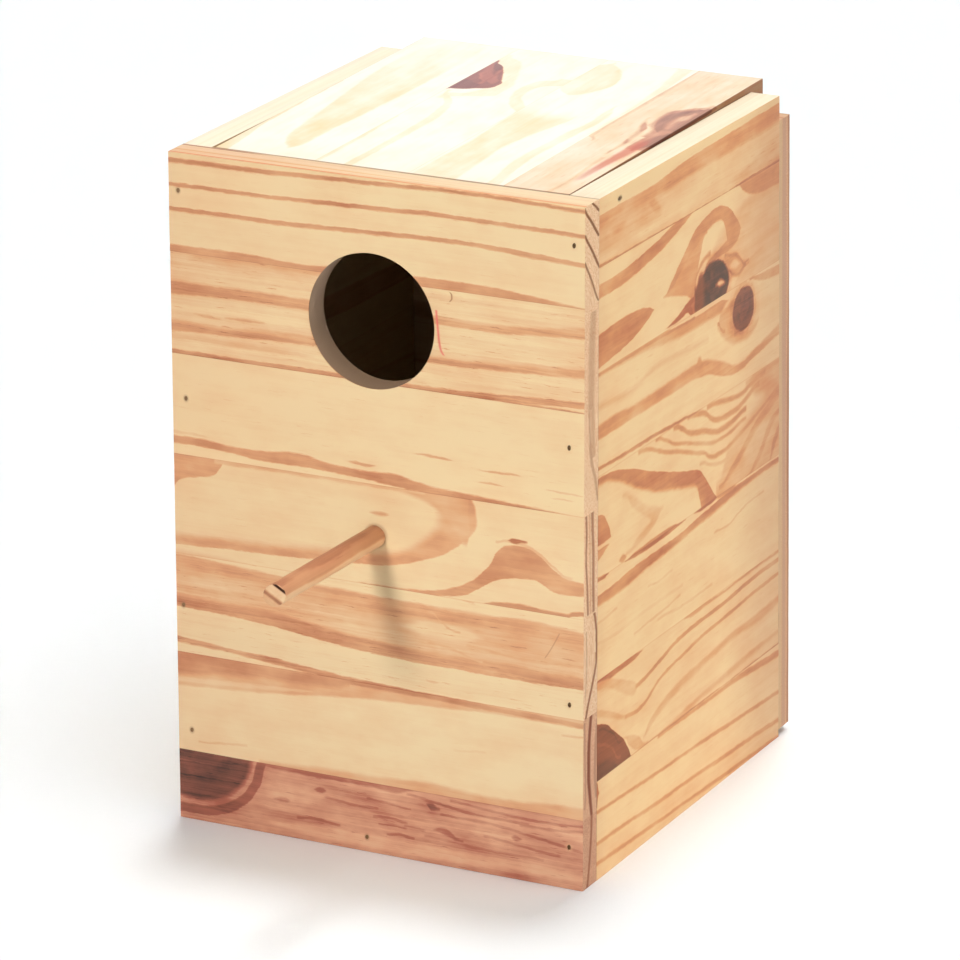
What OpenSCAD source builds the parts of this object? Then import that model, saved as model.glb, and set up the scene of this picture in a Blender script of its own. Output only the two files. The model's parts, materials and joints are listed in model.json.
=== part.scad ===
// Nest box of edge-glued pine staves, nailed together, with a lid that tips up on two nails

/* [Walls] */
// Width of the front panel
box_w = 194; // [160:1:260]
// Height of the sides and the front panel
box_h = 300; // [240:1:400]
// Depth of the side panels at the foot, between front and back
side_d = 190.5; // [140:0.5:260]
// Lean of the back panel towards the front, in degrees
back_lean = 1.7; // [0:0.1:4]
// Thickness of the front panel
front_t = 13.5; // [10:0.5:20]
// Thickness of each side panel
side_t = 13.5; // [10:0.5:20]
// Thickness of the back panel
back_t = 11; // [9:0.5:20]
// Drop of the back panel's top below the sides
back_drop = 11.3; // [8:0.1:13]
// Lift of the back panel's bottom above the ground
back_lift = 3.3; // [0:0.1:6]
// Thickness of the floor panel
floor_t = 13.5; // [10:0.5:20]

/* [Glued staves] */
// Staves in each wall, counted down from the top
wall_staves = 7; // [5:1:9]
// Height of the front panel's top stave
front_top_stave = 43.5; // [20:0.5:50]
// Height of the front panel's bottom stave
front_low_stave = 32; // [20:0.5:50]
// Height of a side panel's top stave
side_top_stave = 29.5; // [20:0.5:50]
// Height of a side panel's bottom stave
side_low_stave = 45; // [20:0.5:50]
// Height of the back panel's top stave
back_top_stave = 27; // [20:0.5:50]
// Height of the back panel's bottom stave
back_low_stave = 35; // [20:0.5:50]
// Staves in the lid and in the floor, counted from the left
flat_staves = 4; // [3:1:6]
// Width of the lid's left stave
lid_left_stave = 47.5; // [20:0.5:60]
// Width of the lid's right stave
lid_right_stave = 30.3; // [20:0.5:60]
// Width of the floor's left stave
floor_left_stave = 38; // [20:0.5:60]
// Width of the floor's right stave
floor_right_stave = 42; // [20:0.5:60]

/* [Entrance and perch] */
// Diameter of the entrance hole
entrance_d = 59; // [32:1:80]
// Sideways place of the hole's centre
entrance_x = -1.5; // [-20:0.5:20]
// Drop of the hole's centre below the top
entrance_drop = 61.8; // [50:0.1:90]
// Diameter of the perch
perch_d = 9.5; // [8:0.5:14]
// Reach of the perch in front of the panel
perch_reach = 91; // [60:1:120]
// Rise of the perch towards its tip, in degrees
perch_rise = 1.4; // [0:0.1:5]
// Sideways place of the perch
perch_x = -0.5; // [-20:0.5:20]
// Drop of the perch's centre below the hole's centre
perch_below = 94.5; // [60:0.5:130]
// Depth of the perch's blind socket
perch_socket = 10; // [6:0.5:10]
// Glue gap round the perch in its socket
perch_fit = 0.1; // [0.05:0.05:0.3]

/* [Lid] */
// Thickness of the lid
lid_t = 13.5; // [10:0.5:20]
// Gap at each side of the lid
lid_side_gap = 0.7; // [0.5:0.1:2]
// Gap between the lid and the front panel
lid_front_gap = 1.2; // [1:0.1:3]
// Overhang of the lid's rear edge past the back panel
lid_overhang = 3; // [0:0.5:8]
// Gap left under the lid where it rests on the back panel
lid_rest_gap = 0.15; // [0.1:0.05:0.5]
// Distance of the hinge pins behind the front panel
hinge_back = 19.5; // [14:0.5:30]
// Depth of the hinge pins below the top
hinge_drop = 4.7; // [3:0.1:7]
// Diameter of a hinge pin
pin_d = 1.8; // [1.5:0.1:3]
// Length of a hinge pin
pin_len = 30; // [22:1:40]
// Running clearance round a pin in the lid
pin_play = 0.06; // [0.03:0.01:0.1]

/* [Nails] */
// Diameter of a nail's shank
nail_d = 1.4; // [1:0.1:2]
// Length of a nail
nail_len = 35; // [25:1:45]
// Diameter of a nail or pin head
head_d = 2.4; // [2:0.1:4]
// Thickness of a head
head_t = 0.8; // [0.5:0.1:1.5]
// Depth of a head below the surface
head_sink = 0.4; // [0.2:0.1:1]
// Gap round a nail in its hole
nail_fit = 0.1; // [0.05:0.05:0.2]
// Depths of the front's left nails below the top
front_left_tops = [16.5, 108]; // [10:0.5:140]
// Heights of the front's left nails above the ground
front_left_lows = [98.5, 41.5]; // [10:0.5:140]
// Distances of the front's left nails from the edge, counted down from the top
front_left_insets = [4.5, 6.5, 3.5, 6.5]; // [3:0.5:8]
// Depths of the front's right nails below the top
front_right_tops = [17, 104]; // [10:0.5:140]
// Heights of the front's right nails above the ground
front_right_lows = [83, 19]; // [10:0.5:140]
// Distances of the front's right nails from the edge, counted down from the top
front_right_insets = [5, 7, 6.5, 6.5]; // [3:0.5:8]
// Depths of the back's nails below the top
back_tops = [30, 106]; // [10:0.5:140]
// Heights of the back's nails above the ground
back_lows = [100, 24]; // [10:0.5:140]
// Distances of the back's nails from the edge, counted down from the top
back_insets = [6, 5.5, 6.5, 6]; // [3:0.5:8]
// Sideways place of the nail into the floor's edge
floor_nail_x = -5.5; // [-40:0.5:40]

/* [Hidden] */
$fn = 64;
overrun = 1;
box_d = front_t + side_d + back_t;
front_y = -box_d / 2;
side_y = front_y + front_t;
foot_y = side_y + side_d;
inner_x = box_w / 2 - side_t;
entrance_z = box_h - entrance_drop;
perch_z = entrance_z - perch_below;

// the back panel's height is measured along its lean
back_top = (box_h - back_drop) / cos(back_lean);
back_h = back_top - back_lift;

// the lid turns on the pins until its underside meets the back panel's inner or outer top edge
hinge_y = side_y + hinge_back;
hinge_z = box_h - hinge_drop;
lid_under = lid_t - hinge_drop;
inner_rest = [foot_y - back_top * sin(back_lean) - hinge_y, box_h - back_drop + lid_rest_gap - hinge_z];
outer_rest = inner_rest + back_t * [cos(back_lean), sin(back_lean)];
lid_tilt = max(resting_tilt(inner_rest), resting_tilt(outer_rest));
lid_w = 2 * (inner_x - lid_side_gap);
lid_front = lid_front_gap - hinge_back;
lid_rear = outer_rest.x + lid_overhang;

front_joints = glue_joints(box_h, front_top_stave, front_low_stave, wall_staves);
side_joints = glue_joints(box_h, side_top_stave, side_low_stave, wall_staves);
back_joints = glue_joints(back_h, back_top_stave, back_low_stave, wall_staves);
lid_joints = glue_joints(lid_w, lid_left_stave, lid_right_stave, flat_staves);
floor_joints = glue_joints(2 * inner_x, floor_left_stave, floor_right_stave, flat_staves);

front_nail_places = concat(
    nail_column(-1, front_left_tops, front_left_lows, front_left_insets),
    nail_column(1, front_right_tops, front_right_lows, front_right_insets),
    [[floor_nail_x, floor_t / 2]]
);
back_nail_places = concat(
    nail_column(-1, back_tops, back_lows, back_insets),
    nail_column(1, back_tops, back_lows, back_insets)
);

wall_range = [1 : wall_staves];
flat_range = [1 : flat_staves];

// where a panel's glue joints fall: given end staves, and equal ones between them
function glue_joints(total, first, last, count) = [
    for (i = [0 : count])
        i == 0 ? 0 : i == count ? total : first + (i - 1) * (total - first - last) / (count - 2)
];

// x and z of the nails along one side of a panel, counted down from the top
function nail_column(side, tops, lows, insets) =
    let (heights = concat([for (t = tops) box_h - t], lows))
        [for (k = [0 : len(heights) - 1]) [side * (box_w / 2 - insets[k]), heights[k]]];

// the tilt at which the lid's underside touches a place given as y and z from the hinge
function resting_tilt(place) = atan2(place.y, place.x) + asin(lid_under / norm(place));

// a nail or pin along +Y, with its head sunk below the face at y = 0
module nail(shank_d, length, gap = 0, mouth = 0) {
    translate([0, head_sink - mouth, 0])
        rotate([-90, 0, 0])
            cylinder(d = head_d + 2 * gap, h = head_t + mouth);
    translate([0, head_sink, 0])
        rotate([-90, 0, 0])
            cylinder(d = shank_d + 2 * gap, h = length - head_sink + gap);
}

module front_nail_set(gap = 0, mouth = 0)
    for (place = front_nail_places)
        translate([place.x, front_y, place.y])
            nail(nail_d, nail_len, gap, mouth);

// stands what is drawn from y = 0 on the sides' leaning rear edges
module leaning()
    translate([0, foot_y, 0])
        rotate([back_lean, 0, 0])
            children();

// all that lies behind the sides' rear edges
module behind_sides()
    leaning()
        translate([-box_w, 0, -box_h])
            cube([2 * box_w, side_d, 3 * box_h]);

module back_nail_set(gap = 0, mouth = 0)
    leaning()
        for (place = back_nail_places)
            translate([place.x, back_t, place.y])
                rotate([0, 0, 180])
                    nail(nail_d, nail_len, gap, mouth);

// the pin that the lid turns on, from the outer face of the side at side = 1 or -1
module hinge_pin_shape(side, gap = 0, mouth = 0)
    translate([side * box_w / 2, hinge_y, hinge_z])
        rotate([0, 0, side * 90])
            nail(pin_d, pin_len, gap, mouth);

// a stave of an upright panel, between its glue joints measured down from top_z
module wall_stave(joints, i, top_z, corner, size)
    translate([corner.x, corner.y, top_z - joints[i]])
        cube([size.x, size.y, joints[i] - joints[i - 1]]);

// the perch from its root, or its socket when a gap is given
module perch_shape(reach, gap = 0)
    translate([perch_x, front_y, perch_z])
        rotate([-90 - perch_rise, 0, 0])
            translate([0, 0, -reach])
                cylinder(d = perch_d + 2 * gap, h = reach + perch_socket);

module front_stave(i)
    color("burlywood")
        difference() {
            wall_stave(front_joints, i, box_h, [-box_w / 2, front_y], [box_w, front_t]);
            translate([entrance_x, front_y - overrun, entrance_z])
                rotate([-90, 0, 0])
                    cylinder(d = entrance_d, h = front_t + 2 * overrun);
            perch_shape(overrun, perch_fit);
            front_nail_set(nail_fit, overrun);
        }

module side_stave(side, i)
    color("burlywood")
        difference() {
            wall_stave(side_joints, i, box_h, [side > 0 ? inner_x : -box_w / 2, side_y],
                [side_t, side_d + overrun]);
            behind_sides();
            front_nail_set(nail_fit, overrun);
            back_nail_set(nail_fit, overrun);
            hinge_pin_shape(side, nail_fit, overrun);
        }

module back_stave(i)
    color("burlywood")
        difference() {
            leaning()
                wall_stave(back_joints, i, back_top, [-box_w / 2, 0], [box_w, back_t]);
            back_nail_set(nail_fit, overrun);
        }

module floor_stave(i)
    color("wheat")
        difference() {
            translate([floor_joints[i - 1] - inner_x, side_y, 0])
                cube([floor_joints[i] - floor_joints[i - 1], side_d + overrun, floor_t]);
            behind_sides();
            front_nail_set(nail_fit, overrun);
        }

module lid_stave(i)
    color("cornsilk")
        difference() {
            translate([lid_joints[i - 1] - lid_w / 2, hinge_y, hinge_z])
                rotate([lid_tilt, 0, 0])
                    translate([0, lid_front, -lid_under])
                        cube([lid_joints[i] - lid_joints[i - 1], lid_rear - lid_front, lid_t]);
            for (side = [-1, 1])
                hinge_pin_shape(side, pin_play);
        }

module perch()
    color("tan")
        perch_shape(perch_reach);

module hinge_pin(side)
    color("dimgray")
        hinge_pin_shape(side);

module front_nails()
    color("dimgray")
        front_nail_set();

module back_nails()
    color("dimgray")
        back_nail_set();

for (i = wall_range) {
    front_stave(i);
    side_stave(1, i);
    side_stave(-1, i);
    back_stave(i);
}
for (i = flat_range) {
    floor_stave(i);
    lid_stave(i);
}
perch();
hinge_pin(1);  // hinge_pin_right
hinge_pin(-1);  // hinge_pin_left
front_nails();
back_nails();
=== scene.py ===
import bmesh
import bpy
import json
import math
import random
from mathutils import Matrix, Vector, noise


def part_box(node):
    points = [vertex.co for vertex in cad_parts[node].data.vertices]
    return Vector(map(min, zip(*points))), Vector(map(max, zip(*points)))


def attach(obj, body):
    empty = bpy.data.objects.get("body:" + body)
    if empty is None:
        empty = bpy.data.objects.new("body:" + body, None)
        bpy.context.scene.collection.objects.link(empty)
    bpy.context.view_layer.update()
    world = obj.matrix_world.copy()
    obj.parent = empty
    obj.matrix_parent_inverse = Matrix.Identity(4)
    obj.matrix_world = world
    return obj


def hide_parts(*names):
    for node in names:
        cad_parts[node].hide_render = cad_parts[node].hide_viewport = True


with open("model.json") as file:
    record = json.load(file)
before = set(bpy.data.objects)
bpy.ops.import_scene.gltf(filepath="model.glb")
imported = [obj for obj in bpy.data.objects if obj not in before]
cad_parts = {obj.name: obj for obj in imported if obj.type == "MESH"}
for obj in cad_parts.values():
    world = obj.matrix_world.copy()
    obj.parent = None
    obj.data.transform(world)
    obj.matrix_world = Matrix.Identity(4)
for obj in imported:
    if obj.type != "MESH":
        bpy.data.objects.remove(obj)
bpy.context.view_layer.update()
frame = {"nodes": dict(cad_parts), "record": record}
nodes = frame["nodes"]
mm = 0.001
noise.seed_set(1)       # or the wood's unevenness differs from run to run
print("frame loaded:", len(nodes), "nodes")


# small helpers for node trees

def srgb(red, green, blue):
    # a colour as it is seen, 0 to 255, to the linear value a socket takes
    def linear(value):
        value = value / 255
        return value / 12.92 if value <= 0.04045 else ((value + 0.055) / 1.055) ** 2.4
    return (linear(red), linear(green), linear(blue), 1.0)


class Value:
    # the output of a node: a sum written with it becomes a math node
    def __init__(self, socket):
        self.socket = socket

    def __add__(self, other):
        return calc("ADD", self, other)

    def __sub__(self, other):
        return calc("SUBTRACT", self, other)

    def __rsub__(self, other):
        return calc("SUBTRACT", other, self)

    def __mul__(self, other):
        return calc("MULTIPLY", self, other)

    def __truediv__(self, other):
        return calc("DIVIDE", self, other)

    def __abs__(self):
        return calc("ABSOLUTE", self)

    __radd__ = __add__
    __rmul__ = __mul__


def plug(value, socket):
    if isinstance(value, Value):
        socket.id_data.links.new(value.socket, socket)
    else:
        socket.default_value = value


def addNode(tree, kind, inputs=None, **settings):
    node = tree.nodes.new("ShaderNode" + kind)
    for name, setting in settings.items():
        setattr(node, name, setting)
    for label, value in (inputs or {}).items():
        plug(value, node.inputs[label])
    return node


def derive(kind, inputs, output=0, **settings):
    # the output of a new node, added to the tree that its inputs come from
    tree = next(value.socket.id_data for value in inputs.values() if isinstance(value, Value))
    return Value(addNode(tree, kind, inputs, **settings).outputs[output])


def calc(operation, *values):
    return derive("Math", dict(enumerate(values)), operation=operation)


def clamp(value):
    # holds the sum just made between 0 and 1
    value.socket.node.use_clamp = True
    return value


def ease(value, low, high):
    # 0 below low, 1 above high, smooth between
    ramp = {"Value": value, "From Min": low, "From Max": high}
    return derive("MapRange", ramp, "Result", interpolation_type="SMOOTHSTEP")


def blendValue(factor, first, second):
    return derive("Mix", {0: factor, 2: first, 3: second}, data_type="FLOAT")


def blendColor(factor, first, second, mode="MIX"):
    return derive("Mix", {0: factor, 6: first, 7: second}, 2, data_type="RGBA", blend_type=mode)


def stripe(value, centre, half, soft):
    # 1 within half of the centre, fading over soft
    return 1.0 - ease(abs(value - centre), half - soft / 2, half + soft / 2)


def hypotenuse(along, across):
    return calc("SQRT", along * along + across * across)


def vectorFrom(x, y, z):
    return derive("CombineXYZ", {0: x, 1: y, 2: z})


def parts(value, kind):
    # the three numbers of a colour or a place
    first = derive("Separate" + kind, {0: value})
    return [Value(output) for output in first.socket.node.outputs]


def noiseValue(vector, detail=2.0, roughness=0.5):
    look = {"Vector": vector, "Scale": 1.0, "Detail": detail, "Roughness": roughness}
    return derive("TexNoise", look, "Fac")


def startGroup(name, inputs, outputs):
    # an empty node group, its inputs as values and the sockets of its outputs
    tree = bpy.data.node_groups.new(name, "ShaderNodeTree")
    for labels, side in ((inputs, "INPUT"), (outputs, "OUTPUT")):
        for label in labels:
            kind = "NodeSocket" + socketKinds.get(label, "Float")
            tree.interface.new_socket(label, in_out=side, socket_type=kind)
    source = tree.nodes.new("NodeGroupInput").outputs
    given = {label: Value(source[label]) for label in inputs}
    return tree, given, tree.nodes.new("NodeGroupOutput").inputs


def placeGroup(group, inputs):
    first = derive("Group", inputs, node_tree=group)
    return {output.name: Value(output) for output in first.socket.node.outputs}


def startMaterial(name):
    material = bpy.data.materials.new(name)
    material.use_nodes = True
    return material, material.node_tree.nodes["Principled BSDF"].inputs


def roughen(shader, height, strength):
    # a fine relief on a material's surface
    relief = {"Height": height, "Strength": strength, "Distance": 0.0001}
    plug(derive("Bump", relief), shader["Normal"])


# effects that several materials share, each a node group, and what a group's socket carries
# where that isn't a number

socketKinds = {
    **dict.fromkeys(("Position", "Normal", "Origin", "Grain", "Cross", "Inward"), "Vector"),
    **dict.fromkeys(("Edges", "Pale", "Tan", "Brown", "Dark", "End pale", "Color"), "Color")}


def makeStaveFrame():
    # millimetres along the grain, across the panel and into the wood, and a mask for sawn ends
    tree, given, out = startGroup(
        "stave frame",
        ("Position", "Normal", "Origin", "Grain", "Cross", "Inward"),
        ("Along", "Across", "Depth", "End", "Edge"))
    offset = derive("VectorMath", {0: given["Position"], 1: given["Origin"]}, operation="SUBTRACT")

    def dot(first, second):
        return derive("VectorMath", {0: first, 1: second}, "Value", operation="DOT_PRODUCT")

    for label, axis in (("Along", "Grain"), ("Across", "Cross"), ("Depth", "Inward")):
        plug(dot(offset, given[axis]) * 1000, out[label])
    facing = abs(dot(given["Normal"], given["Grain"]))
    plug(ease(facing, 0.6, 0.85), out["End"])
    plug(ease(dot(given["Normal"], given["Cross"]), -0.6, -0.85), out["Edge"])
    return tree


def makeSawCut():
    # carries a place in the wood along its growth ring to the face, so faces and ends agree
    tree, given, out = startGroup(
        "saw cut",
        ("Along", "Across", "Depth", "Pith across", "Pith depth", "Waver", "Seed"),
        ("Along", "Across"))
    fromPith = given["Across"] - given["Pith across"]
    depth = calc("MAXIMUM", given["Depth"] - 0.03, 0.0)
    behind = depth - given["Pith depth"]
    square = fromPith * fromPith + behind * behind - given["Pith depth"] * given["Pith depth"]
    reach = calc("SQRT", abs(square))
    onFace = calc("SIGN", fromPith) * reach + given["Pith across"]

    slow = vectorFrom(given["Along"] * 0.028, given["Across"] * 0.06, given["Seed"])
    quick = vectorFrom(given["Along"] * 0.16, given["Across"] * 0.45, given["Seed"])
    fibres = vectorFrom(given["Along"] * 0.22, given["Across"] * 1.9, given["Seed"])
    drift = noiseValue(slow) - 0.5
    shiver = noiseValue(quick, 3.0, 0.6) - 0.5
    fray = noiseValue(fibres, 2.0, 0.6) - 0.5
    shift = drift * 2.6 + shiver * 1.9 + fray * 2.3
    plug(shift * given["Waver"] + onFace, out["Across"])
    plug(drift * given["Waver"] * 9 + given["Along"], out["Along"])
    return tree


def makeBand():
    # a darker or paler band of growth between two edges that run along the board
    tree, given, out = startGroup(
        "grain band",
        ("Across", "Edges", "Low", "Span", "Soft top", "Soft bottom", "Tone", "Under"),
        ("Tone", "Mask"))
    first, second, strength = parts(given["Edges"], "Color")
    top = first * given["Span"] + given["Low"]
    bottom = second * given["Span"] + given["Low"]
    halfTop = given["Soft top"] * 0.5
    halfBottom = given["Soft bottom"] * 0.5
    entered = ease(given["Across"], top - halfTop, top + halfTop)
    left = ease(given["Across"], bottom - halfBottom, bottom + halfBottom)
    mask = entered * (1.0 - left) * ease(bottom - top, 0.0, 0.5) * strength
    plug(blendValue(mask, given["Under"], given["Tone"]), out["Tone"])
    plug(mask, out["Mask"])
    return tree


def makeTongue():
    # the rounded end of a growth ring that the saw cut through lengthwise
    tree, given, out = startGroup(
        "grain tongue",
        ("Along", "Across", "Start", "Middle", "Slope", "Reach", "Half width", "Rim", "Tip rim", "Soft",
         "Tone", "Under"),
        ("Tone",))
    run = given["Along"] - given["Start"]
    ahead = calc("MAXIMUM", run / given["Reach"], 0.0)
    middle = run * given["Slope"] + given["Middle"]
    aside = (given["Across"] - middle) / given["Half width"]
    inside = (1.0 - hypotenuse(ahead, aside)) * given["Half width"]
    rim = blendValue(ease(ahead, 0.2, 1.0), given["Rim"], given["Tip rim"])
    faded = ease(inside, rim, rim + given["Soft"])
    mask = ease(inside, -0.3, 0.4) * (1.0 - faded)
    plug(blendValue(mask, given["Under"], given["Tone"]), out["Tone"])
    return tree


def makeKnot():
    # a knot: dark wood with rings of its own, a darker rim and an amber halo
    tree, given, out = startGroup(
        "knot",
        ("Along", "Across", "Depth", "Centre along", "Centre across", "Radius along", "Radius across",
         "Halo", "Tone", "Under"),
        ("Tone",))
    along = (given["Along"] - given["Centre along"]) / given["Radius along"]
    across = (given["Across"] - given["Centre across"]) / given["Radius across"]
    rough = noiseValue(vectorFrom(along * 2.2, across * 2.2, given["Depth"]), 3.0)
    away = (rough - 0.5) * 0.16 + hypotenuse(along, across)
    core = 1.0 - ease(away, 0.92, 1.06)
    rings = calc("SINE", rough * 12.0 + away * 13.0)
    rim = ease(away, 0.8, 1.0) * 0.1
    inner = given["Tone"] + rim + rings * 0.05 + (rough - 0.5) * 0.8
    glow = 1.0 - ease(away, 1.0, 1.7)
    outer = glow * given["Halo"] * (rings * 0.3 + 1.0) + given["Under"]
    plug(blendValue(core, outer, inner), out["Tone"])
    return tree


def makeSpot():
    # a soft round spot: a stain around a nail, a dent, and painted shade around the root of the perch
    tree, given, out = startGroup(
        "spot",
        ("Along", "Across", "Centre along", "Centre across", "Radius along", "Radius across", "Soft"),
        ("Mask",))
    along = (given["Along"] - given["Centre along"]) / given["Radius along"]
    across = (given["Across"] - given["Centre across"]) / given["Radius across"]
    plug(1.0 - ease(hypotenuse(along, across), 1.0 - given["Soft"], 1.0), out["Mask"])
    return tree


def makeFibre():
    # fine streaks, short resin lines and soft mottling along the grain
    tree, given, out = startGroup(
        "fibre",
        ("Along", "Across", "Depth", "Seed"),
        ("Streak", "Dash", "Mottle", "Pore"))

    def stretched(alongScale, acrossScale, shift, detail, roughness=0.55):
        along = given["Along"] * alongScale + given["Seed"] + shift
        place = vectorFrom(along, given["Across"] * acrossScale, given["Depth"] * acrossScale)
        return noiseValue(place, detail, roughness)

    fine = stretched(0.014, 1.5, 0.0, 4.0, 0.6)
    broad = stretched(0.009, 0.32, 7.0, 2.0)
    streak = (broad - 0.5) * 1.3 + (fine - 0.5)
    plug(streak * 2.2, out["Streak"])
    dash = stretched(0.085, 1.7, 23.0, 1.0, 0.4)
    plug(ease(dash, 0.66, 0.76), out["Dash"])
    plug(stretched(0.035, 0.07, 41.0, 3.0), out["Mottle"])
    place = vectorFrom(given["Along"] * 2.6, given["Across"] * 2.6, given["Depth"] * 2.6)
    plug(noiseValue(place, 2.0, 0.6), out["Pore"])
    return tree


def makePineColour():
    # tone 0 is the palest wood, 0.5 tan, 1 brown latewood and 2 the dark of a knot
    tree, given, out = startGroup(
        "pine colour",
        ("Tone", "Streak", "Dash", "Mottle", "Pore", "End", "Streaks", "Dashes", "Pale", "Tan", "Brown",
         "Dark", "End pale"),
        ("Color", "Roughness", "Height"))
    depthOfTone = given["Tone"] * 0.75 + 0.45
    cloud = given["Mottle"] - 0.5
    tone = given["Tone"] + given["Streak"] * given["Streaks"] * depthOfTone * 0.24
    tone = tone + given["Dash"] * given["Dashes"] * 0.42 + cloud * 0.34

    def toned(value, pale):
        color = blendColor(clamp(value * 2.0), pale, given["Tan"])
        color = blendColor(clamp(value * 2.0 - 1.0), color, given["Brown"])
        return blendColor(clamp(value - 1.0), color, given["Dark"])

    speckle = (given["Pore"] - 0.5) * 0.5
    ending = calc("MINIMUM", tone * 1.6, 1.45) + speckle
    color = blendColor(given["End"], toned(tone, given["Pale"]), toned(ending, given["End pale"]))
    blush = clamp(cloud * 2.2 + 0.3)
    plug(blendColor(blush, color, (1.0, 0.965, 0.95, 1), "MULTIPLY"), out["Color"])
    plug(given["Streak"] * 0.05 + 0.5 + given["End"] * 0.2 - tone * 0.05, out["Roughness"])
    height = given["Streak"] * 0.3 - given["Dash"] * 0.35
    plug(height + given["Pore"] * given["End"] * 0.9, out["Height"])
    return tree


staveFrame = makeStaveFrame()
sawCut = makeSawCut()
grainBand = makeBand()
grainTongue = makeTongue()
knotGroup = makeKnot()
spotGroup = makeSpot()
fibreGroup = makeFibre()
pineColour = makePineColour()
print("shared node groups made")


# the figure of each stave
# its places are in millimetres: (along the board, top edge, bottom edge), measured across the panel,
# and a fourth number says how strongly the band shows there

def band(tone, softTop, softBottom, *places):
    return {"tone": tone, "softTop": softTop, "softBottom": softBottom, "places": places}


def line(tone, width, *places, soft=0.7, slim=False):
    # a thin line of even width through (along, across) places, or one that starts and ends fine
    edges = []
    for index, (along, across) in enumerate(places):
        half = 0.05 if slim and index in (0, len(places) - 1) else width / 2
        edges.append((along, across - half, across + half))
    return band(tone, soft, soft, *edges)


redPine = {"Pale": srgb(243, 214, 168), "Tan": srgb(226, 168, 132), "Brown": srgb(180, 108, 86),
           "Dark": srgb(66, 54, 48), "End pale": srgb(176, 122, 98)}

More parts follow.
